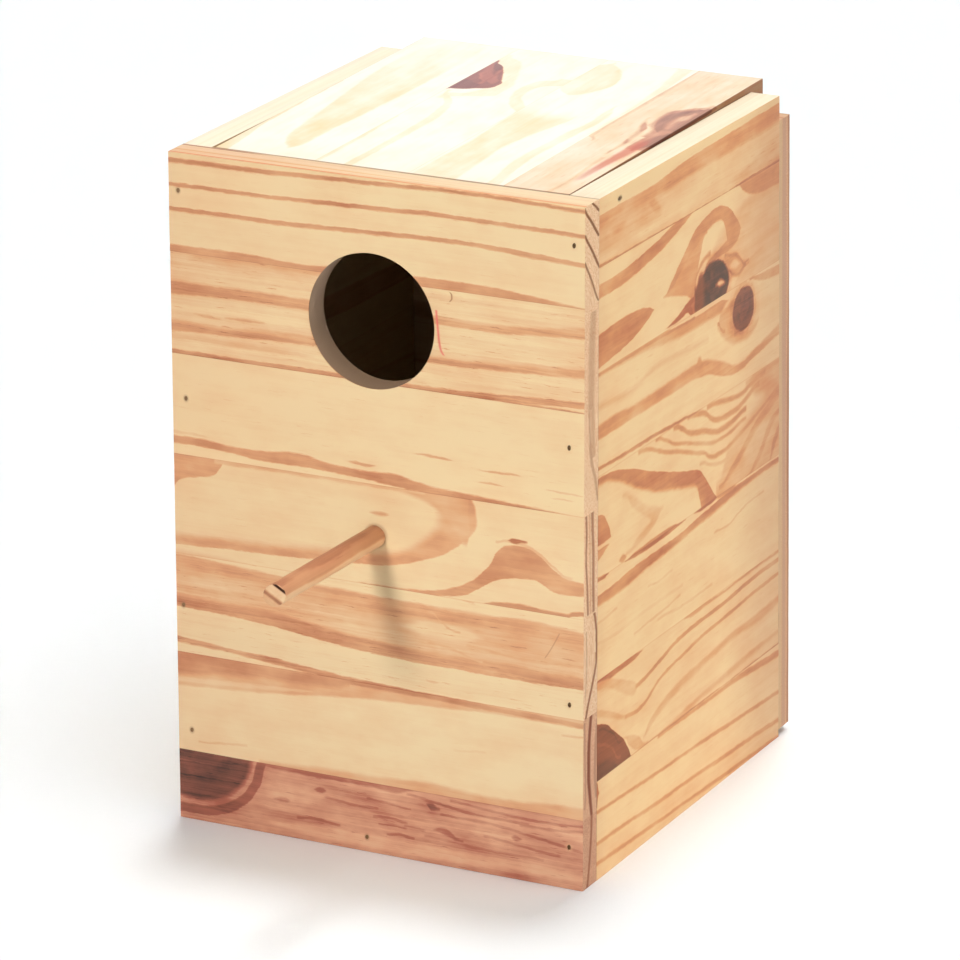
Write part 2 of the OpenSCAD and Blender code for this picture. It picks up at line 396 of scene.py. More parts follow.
frontFigure = [
    {"base": 0.03, "pith": (51, -31), "streaks": 0.45, "dashes": 0.25,
     "ends": [
        (srgb(122, 68, 30), 0.9, 0.8, (-1, 5, 6.6), (0, 5.8, 7.6), (2.4, 9.2, 11.2), (5.6, 13.2, 15)),
        (srgb(122, 68, 30), 0.9, 0.8, (0, -1.6, 0.2), (2, -0.7, 1.2), (8, 5.2, 7.2), (16, 12.6, 14.6)),
        (srgb(122, 68, 30), 0.9, 0.8, (11.6, -1.2, 0.5), (13.6, 0, 1.8), (20, 5.6, 7.4),
         (29.4, 13, 14.8)),
        (srgb(132, 78, 40), 0.8, 0.8, (23, -1.4, 0.1), (25, -0.1, 1.5), (33, 5.6, 7.2), (41, 10.4, 12),
         (43.5, 12.4, 14))],
     "bands": [
        band(0.72, 0.9, 1.1, (0, 2.6, 4.7), (50, 2.1, 4.1), (100, 1, 2.9), (140, 0.2, 1.8),
             (194, 1.1, 2.8)),
        band(0.68, 0.6, 1, (0, 13.2, 15), (60, 12.7, 14.4), (100, 11.7, 13.6), (140, 11.1, 12.9),
             (194, 11.8, 13.5)),
        band(0.68, 0.6, 1.1, (0, 24, 25.9), (60, 23.4, 25.3), (100, 22.1, 24), (140, 21.4, 23.3),
             (170, 22.4, 24.6), (194, 24, 25.9)),
        band(0.62, 1, 0.5, (0, 40.4, 44), (40, 40.2, 44), (60, 41.3, 44), (80, 40.4, 44), (120, 39.5, 44),
             (152, 39.7, 44), (176, 41.6, 44), (194, 43.1, 44.2))]},
    {"base": 0.13, "pith": (-60, 45), "streaks": 1.3, "dashes": 1,
     "ends": [
        (srgb(176, 124, 92), 0.5, 3, (46, 6, 11), (60, 4, 10), (90, 3.4, 9))],
     "bands": [
        band(0.4, 2, 4, (0, 43, 49), (40, 43, 47), (75, 43, 45), (80, 43, 43)),
        band(0.58, 2.4, 1.4, (0, 56.5, 62), (35, 56.2, 61), (70, 57, 60.6), (125, 56, 59), (150, 56.1, 59.2),
             (170, 54.4, 57.6), (194, 52, 56)),
        band(0.36, 1, 1, (12, 69.6, 70), (18, 69.3, 71.2), (24, 70.6, 71)),
        band(0.5, 1, 1, (27, 69.6, 70), (34, 68.8, 70.2), (42, 69, 69.8), (48, 69.4, 69.4)),
        band(0.6, 3.2, 1.2, (0, 73.8, 78.6), (30, 73.6, 77.6), (60, 72, 76.4), (78, 72.4, 75.6),
             (125, 73.2, 76), (150, 72.8, 75.5), (170, 70.8, 74.6), (194, 69.6, 73.2)),
        band(0.3, 1.5, 1.5, (0, 80, 81.6), (60, 80.2, 81.8), (72, 81, 81)),
        band(0.74, 1, 0.7, (0, 86.6, 89), (60, 86.7, 89), (110, 86.6, 88.8), (140, 86, 88.7),
             (170, 84.8, 87.6), (194, 83.4, 86.2)),
        band(0.6, 0.6, 0.6, (150, 88.2, 88.2), (165, 87.6, 89), (194, 88, 89.4))],
     "marks": [
        {"width": 1, "strength": 0.85, "color": srgb(232, 112, 104),
         "places": [(52.4, 125.8), (57, 126.2), (62, 126.7), (67, 127.3), (70.4, 128.2), (72.4, 129.6)]},
        {"width": 0.7, "strength": 0.8, "color": srgb(172, 106, 70),
         "places": [(43.9, 131.8), (45.2, 133), (46.8, 133.1), (48.8, 131.8)]}]},
    {"base": 0.02, "pith": (98, 46), "streaks": 0.4, "dashes": 0.3,
     "ends": [
        (srgb(158, 98, 66), 0.5, 1.8, (87, 3.6, 5.2), (100, 4.4, 6.4), (108, 5, 7.4), (113, 6.4, 8.8),
         (120, 9.6, 11.8), (130, 12.4, 14)),
        (srgb(176, 124, 92), 0.5, 2.6, (88, 6, 9.4), (110, 7, 10.4))],
     "bands": [
        band(0.3, 1.2, 1.2, (0, 122.8, 124.2), (12, 123.2, 124), (20, 124, 124)),
        line(0.5, 1.1, (113, 117), (122, 116.8), (128, 117.2), (137, 117.6), slim=True),
        line(0.44, 1, (142, 119.4), (152, 119.6), (158, 119.4), (168, 119.6), slim=True),
        line(0.36, 1, (142, 125), (150, 124.8), (160, 125.2), slim=True),
        line(0.48, 1, (174, 124), (184, 123.9), (190, 124), (194, 124), slim=True),
        line(0.4, 0.9, (176, 127), (184, 127), (192, 127.2), slim=True),
        line(0.44, 1.2, (82, 124.6), (88, 124.8), (92, 125.2), (98, 124.6), slim=True),
        band(0.7, 1.3, 0.9, (0, 125, 128.6), (15, 125.2, 128.8), (30, 126.6, 129.6), (45, 126.2, 130.6),
             (60, 124.9, 130.6), (76, 127.2, 130.8), (92, 127.6, 131.4), (104, 127, 132.4),
             (116, 129.2, 133.4), (140, 131, 134), (180, 133, 134.2), (194, 134.2, 134.4))]},
    {"base": 0.04, "pith": (70, 60), "streaks": 0.45, "dashes": 0.2,
     "ends": [
        (srgb(142, 78, 48), 0.75, 1, (132, 1, 2.8), (142, 1.6, 3.4), (152, 1.2, 2.8), (164, 2.2, 4),
         (178, 3.2, 5)),
        (srgb(142, 78, 48), 0.75, 1.2, (132, 6.6, 9.2), (141, 7, 9.4), (152, 7.8, 10.2), (164, 7.8, 10.2),
         (178, 8.4, 10.6)),
        (srgb(170, 118, 88), 0.4, 1.2, (132, 4.4, 6), (150, 5, 6.4), (178, 5.8, 7.4))],
     "tongues": [{"start": 89, "middle": 143.7, "slope": -0.055, "reach": 55.5, "half": 26, "rim": 1.8,
                  "tipRim": 7.5, "soft": 5, "tone": 0.56}],
     "bands": [
        band(0.5, 0.6, 3, (102, 133, 133.6), (114, 133, 135.6), (122, 133, 138), (130, 133, 143),
             (136, 133, 150), (140, 133, 154)),
        band(0.56, 0.9, 1, (0, 130, 148), (4, 130, 144.4), (12, 130, 142.6), (19, 130, 140.8),
             (22, 130, 137), (27, 130, 132.4)),
        band(0.3, 0.8, 1.2, (20, 133, 135), (60, 133, 134.6), (120, 133, 134.4)),
        band(0.34, 3, 1, (0, 176.6, 179), (30, 178, 179), (40, 178.8, 178.8)),
        band(0.64, 1, 0.7, (84, 177.9, 177.9), (98, 177.8, 179), (115, 177.3, 178.9), (125, 176.3, 178.6),
             (135, 173.3, 177.4), (140, 170.4, 175.8), (145, 166.4, 172.6), (150, 160.4, 168.6),
             (155, 153.6, 166.3), (159, 151, 165.2), (165, 150.2, 164.3), (170, 151.2, 164.2),
             (175, 154.2, 165.6), (180, 158.4, 168), (186, 161.3, 168.6), (194, 162.6, 168.2)),
        line(0.34, 1.3, (154, 150.2), (158, 148.9), (166, 149.4), (173, 152.3), (180, 157.2), (188, 161)),
        band(1.05, 0.8, 0.8, (158, 148.6, 148.6), (162, 147.4, 149.6), (167, 147.8, 148.6)),
        band(0.5, 1.4, 1.4, (92, 145.8, 145.8), (98, 144.7, 146.7), (104, 145.6, 145.6)),
        band(0.72, 1.2, 0.6, (146, 178.4, 178.4), (153, 176.8, 179), (165, 175.9, 178.6),
             (176, 176.8, 178.8), (187, 177, 178.8), (190, 175.8, 177.6), (194, 175.2, 177))]},
    {"base": 0.02, "pith": (196, -20), "streaks": 1.1, "dashes": 0.8,
     "ends": [
        (srgb(132, 72, 38), 0.85, 1, (176, 8.4, 10.4), (182, 10.2, 12.2), (190, 11.6, 13.4),
         (198, 11.6, 13.4), (205, 9.6, 11.6), (213, 5.6, 7.8), (218, 3.2, 5.2), (223.6, 1, 3)),
        (srgb(168, 120, 92), 0.5, 0.9, (184, 2, 3), (200, 2.6, 3.4), (214, 1.2, 2))],
     "bands": [
        band(0.34, 1.4, 1, (0, 178, 202), (40, 180.4, 204), (80, 182, 207.5), (120, 183, 209.3),
             (150, 183, 209.4), (170, 182.4, 209.4), (194, 184, 209)),
        band(0.52, 1.2, 5, (0, 178.6, 188), (20, 179.6, 187), (40, 181, 187), (60, 182, 188),
             (80, 182.8, 188), (110, 183.2, 190), (140, 184, 190.4), (165, 182.6, 190.6), (194, 185, 190.6)),
        band(0.46, 1.6, 1.6, (0, 191.6, 194.6), (16, 192.6, 194.2), (30, 193.4, 193.4)),
        band(0.12, 3, 3, (105, 194, 194), (122, 190.5, 197.5), (138, 191, 197), (150, 194, 194)),
        band(0.74, 2.4, 0.7, (0, 196.6, 202.4), (20, 197.2, 202.8), (40, 197.6, 204), (60, 199.4, 206),
             (80, 202, 207.9), (100, 203.6, 209.2), (130, 204.6, 209.7), (150, 203.6, 209.9),
             (165, 203.8, 209.9), (180, 205, 209.5), (194, 204.4, 209.1)),
        line(0.46, 1.1, (122, 199.8), (132, 200.8), (140, 203), (147, 204.6)),
        line(0.46, 1.1, (140, 198.2), (165, 200.4), (194, 199.2)),
        line(0.42, 1, (122, 186), (128, 190), (136, 193)),
        band(0.22, 0.8, 1.2, (118, 216.4, 216.4), (123, 216.6, 217.6), (128, 216.8, 216.8)),
        band(0.72, 1, 1.2, (0, 216, 218.8), (12, 216.8, 219.2), (25, 217.8, 219.8), (45, 218.8, 221.4),
             (62, 220, 222.7), (80, 221.3, 224), (100, 222.2, 224.4), (130, 223, 224.4),
             (194, 224.2, 224.6))],
     "marks": [
        {"width": 0.6, "strength": 0.6, "color": srgb(186, 126, 92),
         "places": [(185.6, 183), (190, 180.8), (194, 178.6), (198.4, 175.8)]}]},
    {"base": 0.045, "pith": (300, 70), "streaks": 0.3, "dashes": 0.12,
     "endBase": (srgb(226, 180, 144), srgb(194, 140, 106), 0.9),
     "ends": [
        (srgb(124, 60, 40), 0.9, 1.4, (222, 6.2, 9), (230, 4.8, 7.6), (240, 3.8, 6.8), (250, 3.8, 6.8),
         (258, 5, 7.8), (269, 7.2, 9.6)),
        (srgb(160, 108, 84), 0.6, 1.4, (224, 0.4, 1.8), (240, 1, 2.2), (256, 1.6, 2.8), (264, 1, 2)),
        (srgb(170, 120, 95), 0.7, 1.6, (226, 12.8, 15), (238, 10.6, 13.4), (250, 10.4, 12.4),
         (262, 12, 14))],
     "bands": [
        band(0.42, 0.8, 1.4, (0, 222.6, 239), (30, 222.6, 236.6), (60, 222.6, 233.4), (90, 222.6, 230.6),
             (120, 222.6, 228.6), (150, 222.6, 226.8), (194, 222.6, 226.6)),
        band(0.26, 1, 1, (0, 234.8, 237.2), (30, 232.9, 235), (60, 231, 232), (70, 230.8, 230.8)),
        band(0.7, 0.8, 3.4, (0, 222.6, 233.4), (15, 222.6, 231.6), (30, 222.6, 230), (45, 222.6, 228.6),
             (62, 222.6, 228), (78, 222.6, 228), (84, 222.6, 226)),
        band(0.74, 1.2, 1, (70, 222.6, 225), (110, 222.7, 225.2), (150, 223.4, 225.6),
             (194, 224.2, 226.4)),
        line(0.25, 0.9, (10, 263.4), (22, 262.4), (34, 261.6)),
        line(0.14, 0.9, (134, 246.4), (148, 245)),
        line(0.3, 0.9, (184, 230.8), (194, 230.2)),
        band(0.42, 2.8, 0.8, (40, 267, 269), (70, 265.4, 269), (100, 264.8, 269), (120, 263.4, 269),
             (145, 264.6, 269), (165, 264.4, 269), (180, 262.8, 269), (194, 262.4, 269))]},
    {"base": 0.66, "pith": (330, 10), "streaks": 0.9, "dashes": 0.6, "palette": redPine,
     "endBase": (srgb(220, 172, 136), srgb(186, 132, 102), 0.9),
     "ends": [
        (srgb(142, 78, 50), 0.75, 1.2, (266, 7.4, 9.4), (276, 7, 9), (286, 5.8, 7.8), (294, 4.4, 6.4),
         (302, 2.8, 4.8))],
     "bands": [
        band(0.46, 2, 2, (40, 294.5, 294.5), (60, 292.4, 297.4), (100, 291.6, 297.6),
             (150, 291.8, 297.2), (194, 292.6, 296.4)),
        band(1, 0.6, 1.4, (34, 267.6, 268.4), (50, 267.6, 269.6), (75, 267.6, 270), (92, 267.6, 269.6),
             (104, 267.6, 271), (112, 267.6, 269), (124, 267.6, 267.6)),
        line(0.94, 1.3, (112, 270.4), (122, 271.6), (138, 273.4), (150, 274), (168, 274)),
        line(0.9, 1.2, (132, 269.8), (155, 271.2), (178, 271.8), (194, 270.4)),
        line(0.96, 1.3, (165, 274.8), (180, 274.6), (194, 272.8)),
        line(0.9, 1.2, (128, 276.8), (150, 277), (172, 279.4), (194, 282.4)),
        line(0.9, 1, (92, 275.4), (100, 275.8), (112, 276.8)),
        line(0.86, 1.2, (72, 278.6), (88, 279.6), (96, 279.2)),
        line(0.88, 1.2, (95, 283), (102, 282.6), (110, 283.4)),
        line(0.88, 1.2, (98, 286.4), (105, 285.8), (110, 286)),
        band(1.16, 1.3, 1.3, (120, 273.2, 273.2), (123, 272.6, 275.6), (126, 274, 275)),
        band(1, 1.3, 1.3, (65, 275.6, 275.6), (69, 274.4, 277), (73, 275.8, 275.8)),
        band(1, 1.3, 1.3, (44, 283.4, 283.4), (51, 282, 284.2), (55, 283, 283)),
        band(1, 1.4, 1.4, (122, 284.6, 284.6), (128, 282.8, 285.4), (137, 286.8, 287.4)),
        band(1.08, 1.2, 1.2, (160, 281.4, 281.4), (163, 280.4, 282.6), (167, 281.4, 281.4)),
        line(0.86, 1.2, (148, 283), (165, 284.4), (182, 285.8)),
        line(0.9, 1.2, (58, 290), (66, 289.2), (78, 290.2)),
        line(0.9, 1.2, (102, 290.2), (108, 289.4), (114, 290.2)),
        line(0.86, 1.4, (110, 285), (116, 285), (119, 285.6)),
        line(0.84, 1.2, (120, 288), (150, 289), (175, 289))],
     "arcs": [{"along": 10, "across": 266, "radiusAlong": 32.6, "radiusAcross": 31, "width": 3.4,
               "tone": 1.12},
              {"along": 10, "across": 266, "radiusAlong": 28.6, "radiusAcross": 26.6, "width": 2.4,
               "tone": 0.62}],
     "knots": [{"along": 9, "across": 266, "radiusAlong": 27, "radiusAcross": 24, "halo": 0.1,
                "tone": 1.66}]},
]

rightFigure = [
    {"base": 0.17, "pith": (-30, 40), "streaks": 0.7, "dashes": 0.4, "bands": [
        band(0, 0.5, 0.7, (0, -3, 7.7), (20, -3, 7.7), (50, -3, 7.7), (85, -3, 5.4), (120, -3, 4.2),
             (150, -3, 3.6), (186, -3, 3.3)),
        band(0.5, 0.6, 3.5, (0, 7.7, 15), (20, 7.7, 17), (40, 8, 16), (62, 7.4, 14.6), (85, 5.4, 13.2),
             (120, 4.2, 12.6), (150, 3.6, 12.6), (186, 3.3, 12)),
        band(0.3, 4, 5, (0, 14, 24), (30, 15, 22), (55, 14, 24), (70, 18, 18)),
        band(0.5, 3.4, 3.4, (47, 15, 15), (52, 12.6, 18), (55, 14.6, 20.2), (58, 17, 21), (62, 19, 19)),
        band(0.46, 3, 3, (8, 17, 17), (17, 15.6, 19.4), (22, 16, 18.8), (28, 17, 17)),
        band(0.34, 3, 2, (120, 27, 27), (150, 24.6, 29), (170, 20, 30), (186, 18, 31)),
        band(0.72, 0.8, 0.5, (0, 29.6, 31.2), (20, 30, 31.2), (40, 30.3, 31.2), (125, 30.6, 31.2),
             (140, 30.2, 31.2), (186, 29.8, 31.2))]},
    {"base": 0.03, "pith": (40, 60), "streaks": 0.5, "dashes": 0.2, "bands": [
        band(0.26, 6, 3, (96, 70, 78), (112, 55, 78), (128, 46, 78), (144, 42, 78), (160, 38, 78),
             (186, 38, 78)),
        band(0.62, 0.6, 0.9, (0, 38.5, 44.5), (20, 38, 44), (40, 36.4, 42.2), (60, 33.8, 39.6),
             (75, 31, 36.2), (85, 30, 33.6), (98, 29.6, 30.4), (104, 30, 30)),
        band(0.66, 0.7, 0.7, (0, 59.6, 74), (10, 59, 73), (25, 58.4, 71.6), (40, 59.4, 69), (50, 61.2, 66),
             (56.5, 63.4, 63.4)),
        band(0.58, 0.6, 1.4, (140, 30, 31), (147, 30, 34.6), (156, 30, 38.4), (166, 30, 40),
             (186, 30, 40.6)),
        band(0.5, 1, 1.4, (64, 61, 61), (72, 56.4, 62.4), (80, 50.6, 64.2), (88, 45, 66.4), (94, 41.4, 69),
             (99, 41, 60), (103, 41, 50), (108, 41, 44)),
        band(0.64, 0.7, 1.6, (65, 60.4, 60.8), (72, 56, 59.6), (80, 50, 54.6), (88, 44.4, 51),
             (94, 40.8, 48.4), (101, 38, 45.6), (108, 36.2, 43), (118, 35, 41.4), (124, 35.6, 42),
             (128, 36.8, 46), (130, 37.6, 53), (132, 38.6, 57.4), (136, 41.2, 56.8), (140, 45, 55.4),
             (143, 48.2, 53), (144.8, 50.6, 50.8)),
        band(0.6, 1.2, 0.8, (104, 60.5, 60.8), (110, 57.4, 59.6), (116, 55.6, 58.4), (122, 54.2, 58),
             (131, 52.6, 57.8)),
        line(0.56, 2.4, (94, 71), (95.5, 66), (98, 61.5), (102, 57.4), (107, 54.8), (112, 53.8), soft=1.8),
        band(0.92, 0.9, 1, (66, 75.2, 75.4), (74, 74, 75.6), (82, 71.8, 75), (88, 69.4, 74),
             (92, 68.8, 76), (97, 68.6, 77)),
        band(0.4, 2.5, 2.5, (126, 60, 60), (134, 58.6, 75), (142, 62, 73), (148, 66.4, 69.4), (154, 67, 67)),
        line(0.62, 1.8, (128, 58.8), (134, 60.4), (139, 61.4), (144, 64.4), (149, 68), soft=1.6),
        line(0.66, 1.8, (130, 66), (136, 69.6), (141, 70.8), (146, 69.4), (152, 67.6), soft=1.6),
        line(0.34, 1, (150, 68), (156, 66.8), (168, 65.6), soft=1),
        band(0.12, 2.4, 2.4, (132, 65, 65.4), (138, 63.4, 67.6), (145, 66.6, 66.6)),
        band(0.16, 2.4, 2.4, (130, 73, 73.4), (136, 71, 75.4), (143, 72, 72)),
        band(0.8, 0.8, 0.8, (92, 72, 72), (96, 67, 77), (104, 63, 77), (110, 61, 77))],
     "knots": [{"along": 116, "across": 69.6, "radiusAlong": 15.4, "radiusAcross": 11.4, "halo": 0.12,
                "tone": 1.95}],
     # the first fleck, pale inside the knot, is a painted highlight; the second is dark wood at the knot's
     # left
     "flecksAndGlint": [(0.2, 2.4, (118, 69.4, 69.8), (122, 68.2, 71), (125, 69, 71), (128, 70.6, 70.8)),
                (1.62, 5, (97, 66, 77), (103, 61, 77), (108, 62, 76, 0))]},
    {"base": 0.05, "pith": (160, 50), "streaks": 0.6, "dashes": 0.3, "bands": [
        band(0.46, 0.6, 2.6, (0, 75, 77.8), (20, 75, 78.2), (50, 75, 79.8), (80, 77.4, 82.4), (100, 78, 83),
             (122, 78, 83.6), (134, 80, 80)),
        line(0.62, 1.2, (0, 77), (40, 77.2), (75, 77.6), (95, 78)),
        band(0.56, 0.8, 1.4, (154, 76, 77), (165, 77, 80), (176, 77.4, 81.8), (186, 78, 82.4)),
        band(0.24, 3, 3, (0, 90, 92), (30, 91.4, 94), (60, 88.4, 90.4), (110, 90, 93)),
        band(0.36, 3, 3, (119, 90, 90), (124, 84, 94), (130, 83, 98), (136, 81, 101), (150, 99, 103),
             (160, 98, 100), (166, 95, 95)),
        line(0.6, 1.8, (121, 88), (124, 91), (128, 93)),
        band(0.54, 2, 1.2, (0, 98.8, 105), (15, 98.4, 105.2), (30, 99.6, 105.2), (60, 99.8, 105.3),
             (80, 99.3, 105.6), (95, 99.4, 105.8), (104, 99.8, 107), (111, 101.4, 108), (121, 104.4, 111.4),
             (130, 108, 113.8), (138, 111.2, 115.2), (146, 111.8, 115.4), (156, 110.4, 113.8),
             (170, 108.2, 112.2), (186, 105.8, 110.6)),
        band(0.6, 3, 3, (96, 102, 102), (101.5, 97.6, 104), (106, 102, 102)),
        band(0.68, 0.7, 0.9, (0, 116.9, 118.5), (30, 117.9, 119.5), (60, 118.7, 120.3), (85, 119.9, 121.2),
             (104, 121.3, 122.2))],
     "knots": [{"along": 147.5, "across": 88, "radiusAlong": 11.2, "radiusAcross": 9.8, "halo": 0.26,
                "tone": 1.6}]},
    {"base": 0.05, "pith": (146, -60), "streaks": 0.5, "dashes": 0.2, "bands": [
        band(0.3, 6, 4, (120, 160, 168), (132, 146, 168), (150, 140, 168), (170, 134, 168),
             (186, 124, 168)),
        band(0.4, 2, 6, (150, 122, 124), (160, 121, 131), (172, 121, 134), (186, 121, 135)),
        band(0.72, 0.6, 3.4, (0, 122, 124.8), (10, 122.4, 125.8), (20, 124, 129), (30, 126.6, 133.6),
             (40, 129.6, 138), (50, 133.4, 142), (60, 136.6, 145.6), (70, 139.8, 148), (80, 142.8, 150.4),
             (90, 145.4, 152.6), (97, 147, 154.4), (102, 149, 161), (105, 151.4, 168), (112, 158, 168),
             (119, 165.6, 168), (123, 168, 168)),
        band(0.66, 0.7, 0.7, (0, 138, 151.6), (4, 139, 151.6), (8, 142.4, 151.6), (11, 147, 151.2),
             (13.4, 151, 151)),
        band(0.55, 0.8, 0.8, (0, 153.4, 158.4), (4, 153.2, 157), (8, 153.4, 155), (12.5, 154, 154)),
        band(0.24, 3, 3, (24, 136, 138), (34, 139.6, 144.6), (42, 144, 150), (50, 149, 154.6),
             (57, 151, 158), (64, 153.6, 154)),
        band(0.28, 2.4, 2, (28, 163, 164.4), (40, 159.4, 163), (50, 156.8, 161), (57, 153.6, 158.6),
             (64, 153.8, 154.2)),
        band(0.6, 1.6, 1.6, (20, 164.4, 164.4), (24.5, 162.8, 166.2), (29, 164.8, 164.8)),
        line(0.52, 2, (40, 122.4), (50, 123.8), (60, 127.4), (70, 131), (80, 133.6), (90, 137),
             (100, 140.3), (106, 142), (112, 145.4), (120, 147.2), (130, 147), (140, 145.4), (150, 143.4),
             (165, 140), (186, 134), soft=1.4),
        line(0.46, 1.8, (58, 122), (68, 125), (76, 129), (85, 131.4), (95, 134.4), (105, 137.4), (115, 140),
             (125, 140.8), (135, 140.6), (150, 139), soft=1.4),
        line(0.56, 2.6, (76, 121.8), (84, 124.6), (90, 128), (98, 130.4), (106, 132), (115, 135),
             (125, 136.8), (137, 136.4), (150, 134.6), soft=1.6),
        line(0.54, 2.6, (90, 121), (100, 122.6), (108, 124.6), (113, 128), (120, 131), (130, 132),
             (140, 132), (150, 130), (164, 127), soft=1.6),
        line(0.54, 2.4, (110, 122.4), (125, 124), (135, 125.6), (145, 126.4), (155, 124.8), (170, 123.2),
             soft=1.6),
        line(0.32, 1.8, (102, 146), (115, 150), (128, 152), soft=1.4),
        band(0.56, 1.6, 2.4, (123, 162, 163.6), (135, 156.8, 160.4), (145, 152, 156.4), (155, 147, 151.4),
             (165, 142, 147), (175, 138.4, 143), (186, 134.4, 139)),
        band(0.54, 1.6, 2.4, (150, 166, 168), (160, 161, 164.4), (168, 156, 160), (173, 150, 155.4),
             (180, 146, 149.6), (186, 144, 147)),
        band(0.54, 1.6, 2.4, (175, 166, 168), (178, 160, 165), (182, 155, 160), (186, 151, 155)),
        band(0.68, 0.5, 0.6, (0, 165.4, 167.6), (8, 166, 167.2), (14, 166.6, 166.6)),
        band(0.76, 0.8, 0.6, (26, 167, 167), (34, 165.8, 168), (60, 165, 168), (74, 165.4, 168),
             (86, 167, 167))]},
    {"base": 0.05, "pith": (130, -70), "streaks": 0.45, "dashes": 0.3, "bands": [
        band(0.7, 0.8, 2, (0, 173.6, 178.2), (20, 173, 178.6), (40, 171.8, 177.2), (60, 171.6, 176),
             (80, 171.4, 175), (100, 169.8, 173.6), (115, 168.8, 172.6), (130, 167.8, 171.6),
             (150, 167.3, 170.2), (186, 167.4, 169.8)),
        band(0.5, 1.4, 1.4, (118, 166, 167), (126, 163, 168), (136, 166, 168), (142, 166.4, 166.4)),
        line(0.22, 1.2, (0, 185.8), (10, 185.4), (18, 184.6)),
        line(0.2, 1.2, (50, 185), (60, 186.2), (74, 185.2)),
        line(0.3, 1, (117, 181.8), (130, 182.8), (142, 181), (152, 179.4), (170, 179)),
        line(0.16, 1.6, (0, 195), (20, 196), (50, 195), (84, 195.4)),
        line(0.24, 1.2, (36, 202), (50, 201), (66, 200.8), (82, 199.4)),
        line(0.2, 1.4, (60, 203.4), (85, 205), (115, 205)),
        band(0.84, 0.4, 0.7, (0, 166, 167.5), (6, 166, 167.5), (10, 166.4, 166.8)),
        band(0.88, 0.4, 0.7, (27, 166.4, 166.8), (36, 166, 167.9), (60, 166, 168.1), (74, 166, 167.7),
             (87, 166.4, 166.8)),
        band(0.84, 0.4, 0.7, (97, 166.4, 166.8), (103, 166, 167.6), (114, 166, 167.6),
             (121, 166.4, 166.6))]},
    {"base": 0.1, "pith": (330, 50), "streaks": 0.45, "dashes": 0.25, "bands": [
        band(0.78, 0.6, 0.8, (0, 211, 214.2), (20, 211.2, 214), (36, 211.4, 213.6), (48, 212, 212)),
        band(0.54, 0.8, 1.2, (84, 212, 212), (96, 211, 213.4), (106, 211, 213), (116, 211.6, 212.8),
             (186, 211.6, 212.8)),
        band(0.36, 1.6, 2.4, (0, 212, 216), (10, 213.6, 218), (20, 217, 222.4), (30, 221, 227.6),
             (36, 223.6, 229.4), (41, 226, 227)),
        line(0.6, 2, (38, 226.4), (46, 225.6), (55, 223.9), (63, 222.3), (75, 220), (90, 218.8),
             (105, 218.2), (125, 217.8), (150, 216.6), (186, 215.8)),
        band(0.32, 1.4, 2, (0, 224, 227.4), (10, 228, 231.2), (20, 232.4, 235), (28, 236, 237.8),
             (40, 236.8, 238.4)),
        line(0.5, 1.7, (28, 236.8), (38, 237.8), (45, 236.8), (52, 234.2), (60, 231.4), (70, 229.6),
             (85, 228), (105, 226), (130, 224.6), (150, 223.6), (186, 222.6)),
        band(0.4, 1.6, 2.6, (46, 252, 252.6), (50, 247.6, 251.4), (58, 243.8, 247.6), (70, 240.4, 244.8),
             (85, 238.4, 242), (100, 237.2, 240.6), (120, 235.8, 238.8), (140, 234.4, 237.6),
             (160, 234.2, 238.6), (186, 233.4, 236.6)),
        band(0.34, 1.6, 2.2, (58, 256, 257), (90, 253.4, 255.8), (110, 252, 254.6), (140, 250.4, 253.2),
             (186, 249.4, 251.6)),
        band(0.42, 1.6, 1.6, (24, 245.4, 245.8), (32, 246.6, 251.6), (40, 249.6, 256), (50, 255.6, 257)),
        band(0.62, 1, 0.6, (30, 256.4, 257), (70, 255.8, 257), (140, 256.2, 257), (186, 256, 257)),
        band(1.5, 0.9, 0.5, (0, 230.8, 258), (4, 232, 258), (9, 233.8, 258), (14, 237.4, 258),
             (20, 242, 258), (26, 247, 258), (31, 252.4, 258), (36, 258, 258)),
        band(1.68, 4, 0.5, (0, 248, 258), (8, 249.4, 258), (16, 252.4, 258), (22, 257, 258)),
        line(1.66, 1.2, (2, 234), (10, 237), (16, 240.4), (22, 246.4)),
        line(1.34, 1.6, (0, 240), (8, 242.6), (15, 247), (22, 253))]},
    {"base": 0.06, "pith": (250, -120), "streaks": 0.45, "dashes": 0.2, "bands": [
        band(0.12, 5, 5, (0, 284, 300), (186, 290, 300)),
        band(0.54, 0.8, 1.2, (60, 256, 257.8), (90, 256.4, 258.2), (120, 256.8, 258.8), (145, 257, 259.7),
             (165, 258, 261), (186, 259.4, 262.4)),
        band(0.52, 1, 1, (0, 269.2, 270.8), (30, 270.6, 272.2), (60, 272.2, 273.8), (90, 273.3, 274.9),
             (120, 274.6, 276.4), (150, 276.2, 278), (186, 277.8, 279.8)),
        band(0.54, 1, 1.2, (0, 283.1, 284.8), (20, 283.6, 285.4), (60, 285.6, 287.3), (90, 286.4, 288.1),
             (120, 287.9, 289.8), (150, 289.2, 291.2), (186, 291, 293.2)),
        band(0.54, 1, 1.2, (0, 292.1, 293.8), (25, 292.7, 294.5), (60, 294.4, 296.1), (100, 295.9, 297.6),
             (140, 297.2, 299.2), (186, 299, 301)),
        band(0.8, 1.5, 1.5, (0, 257, 269), (2.5, 262, 262))]},
]

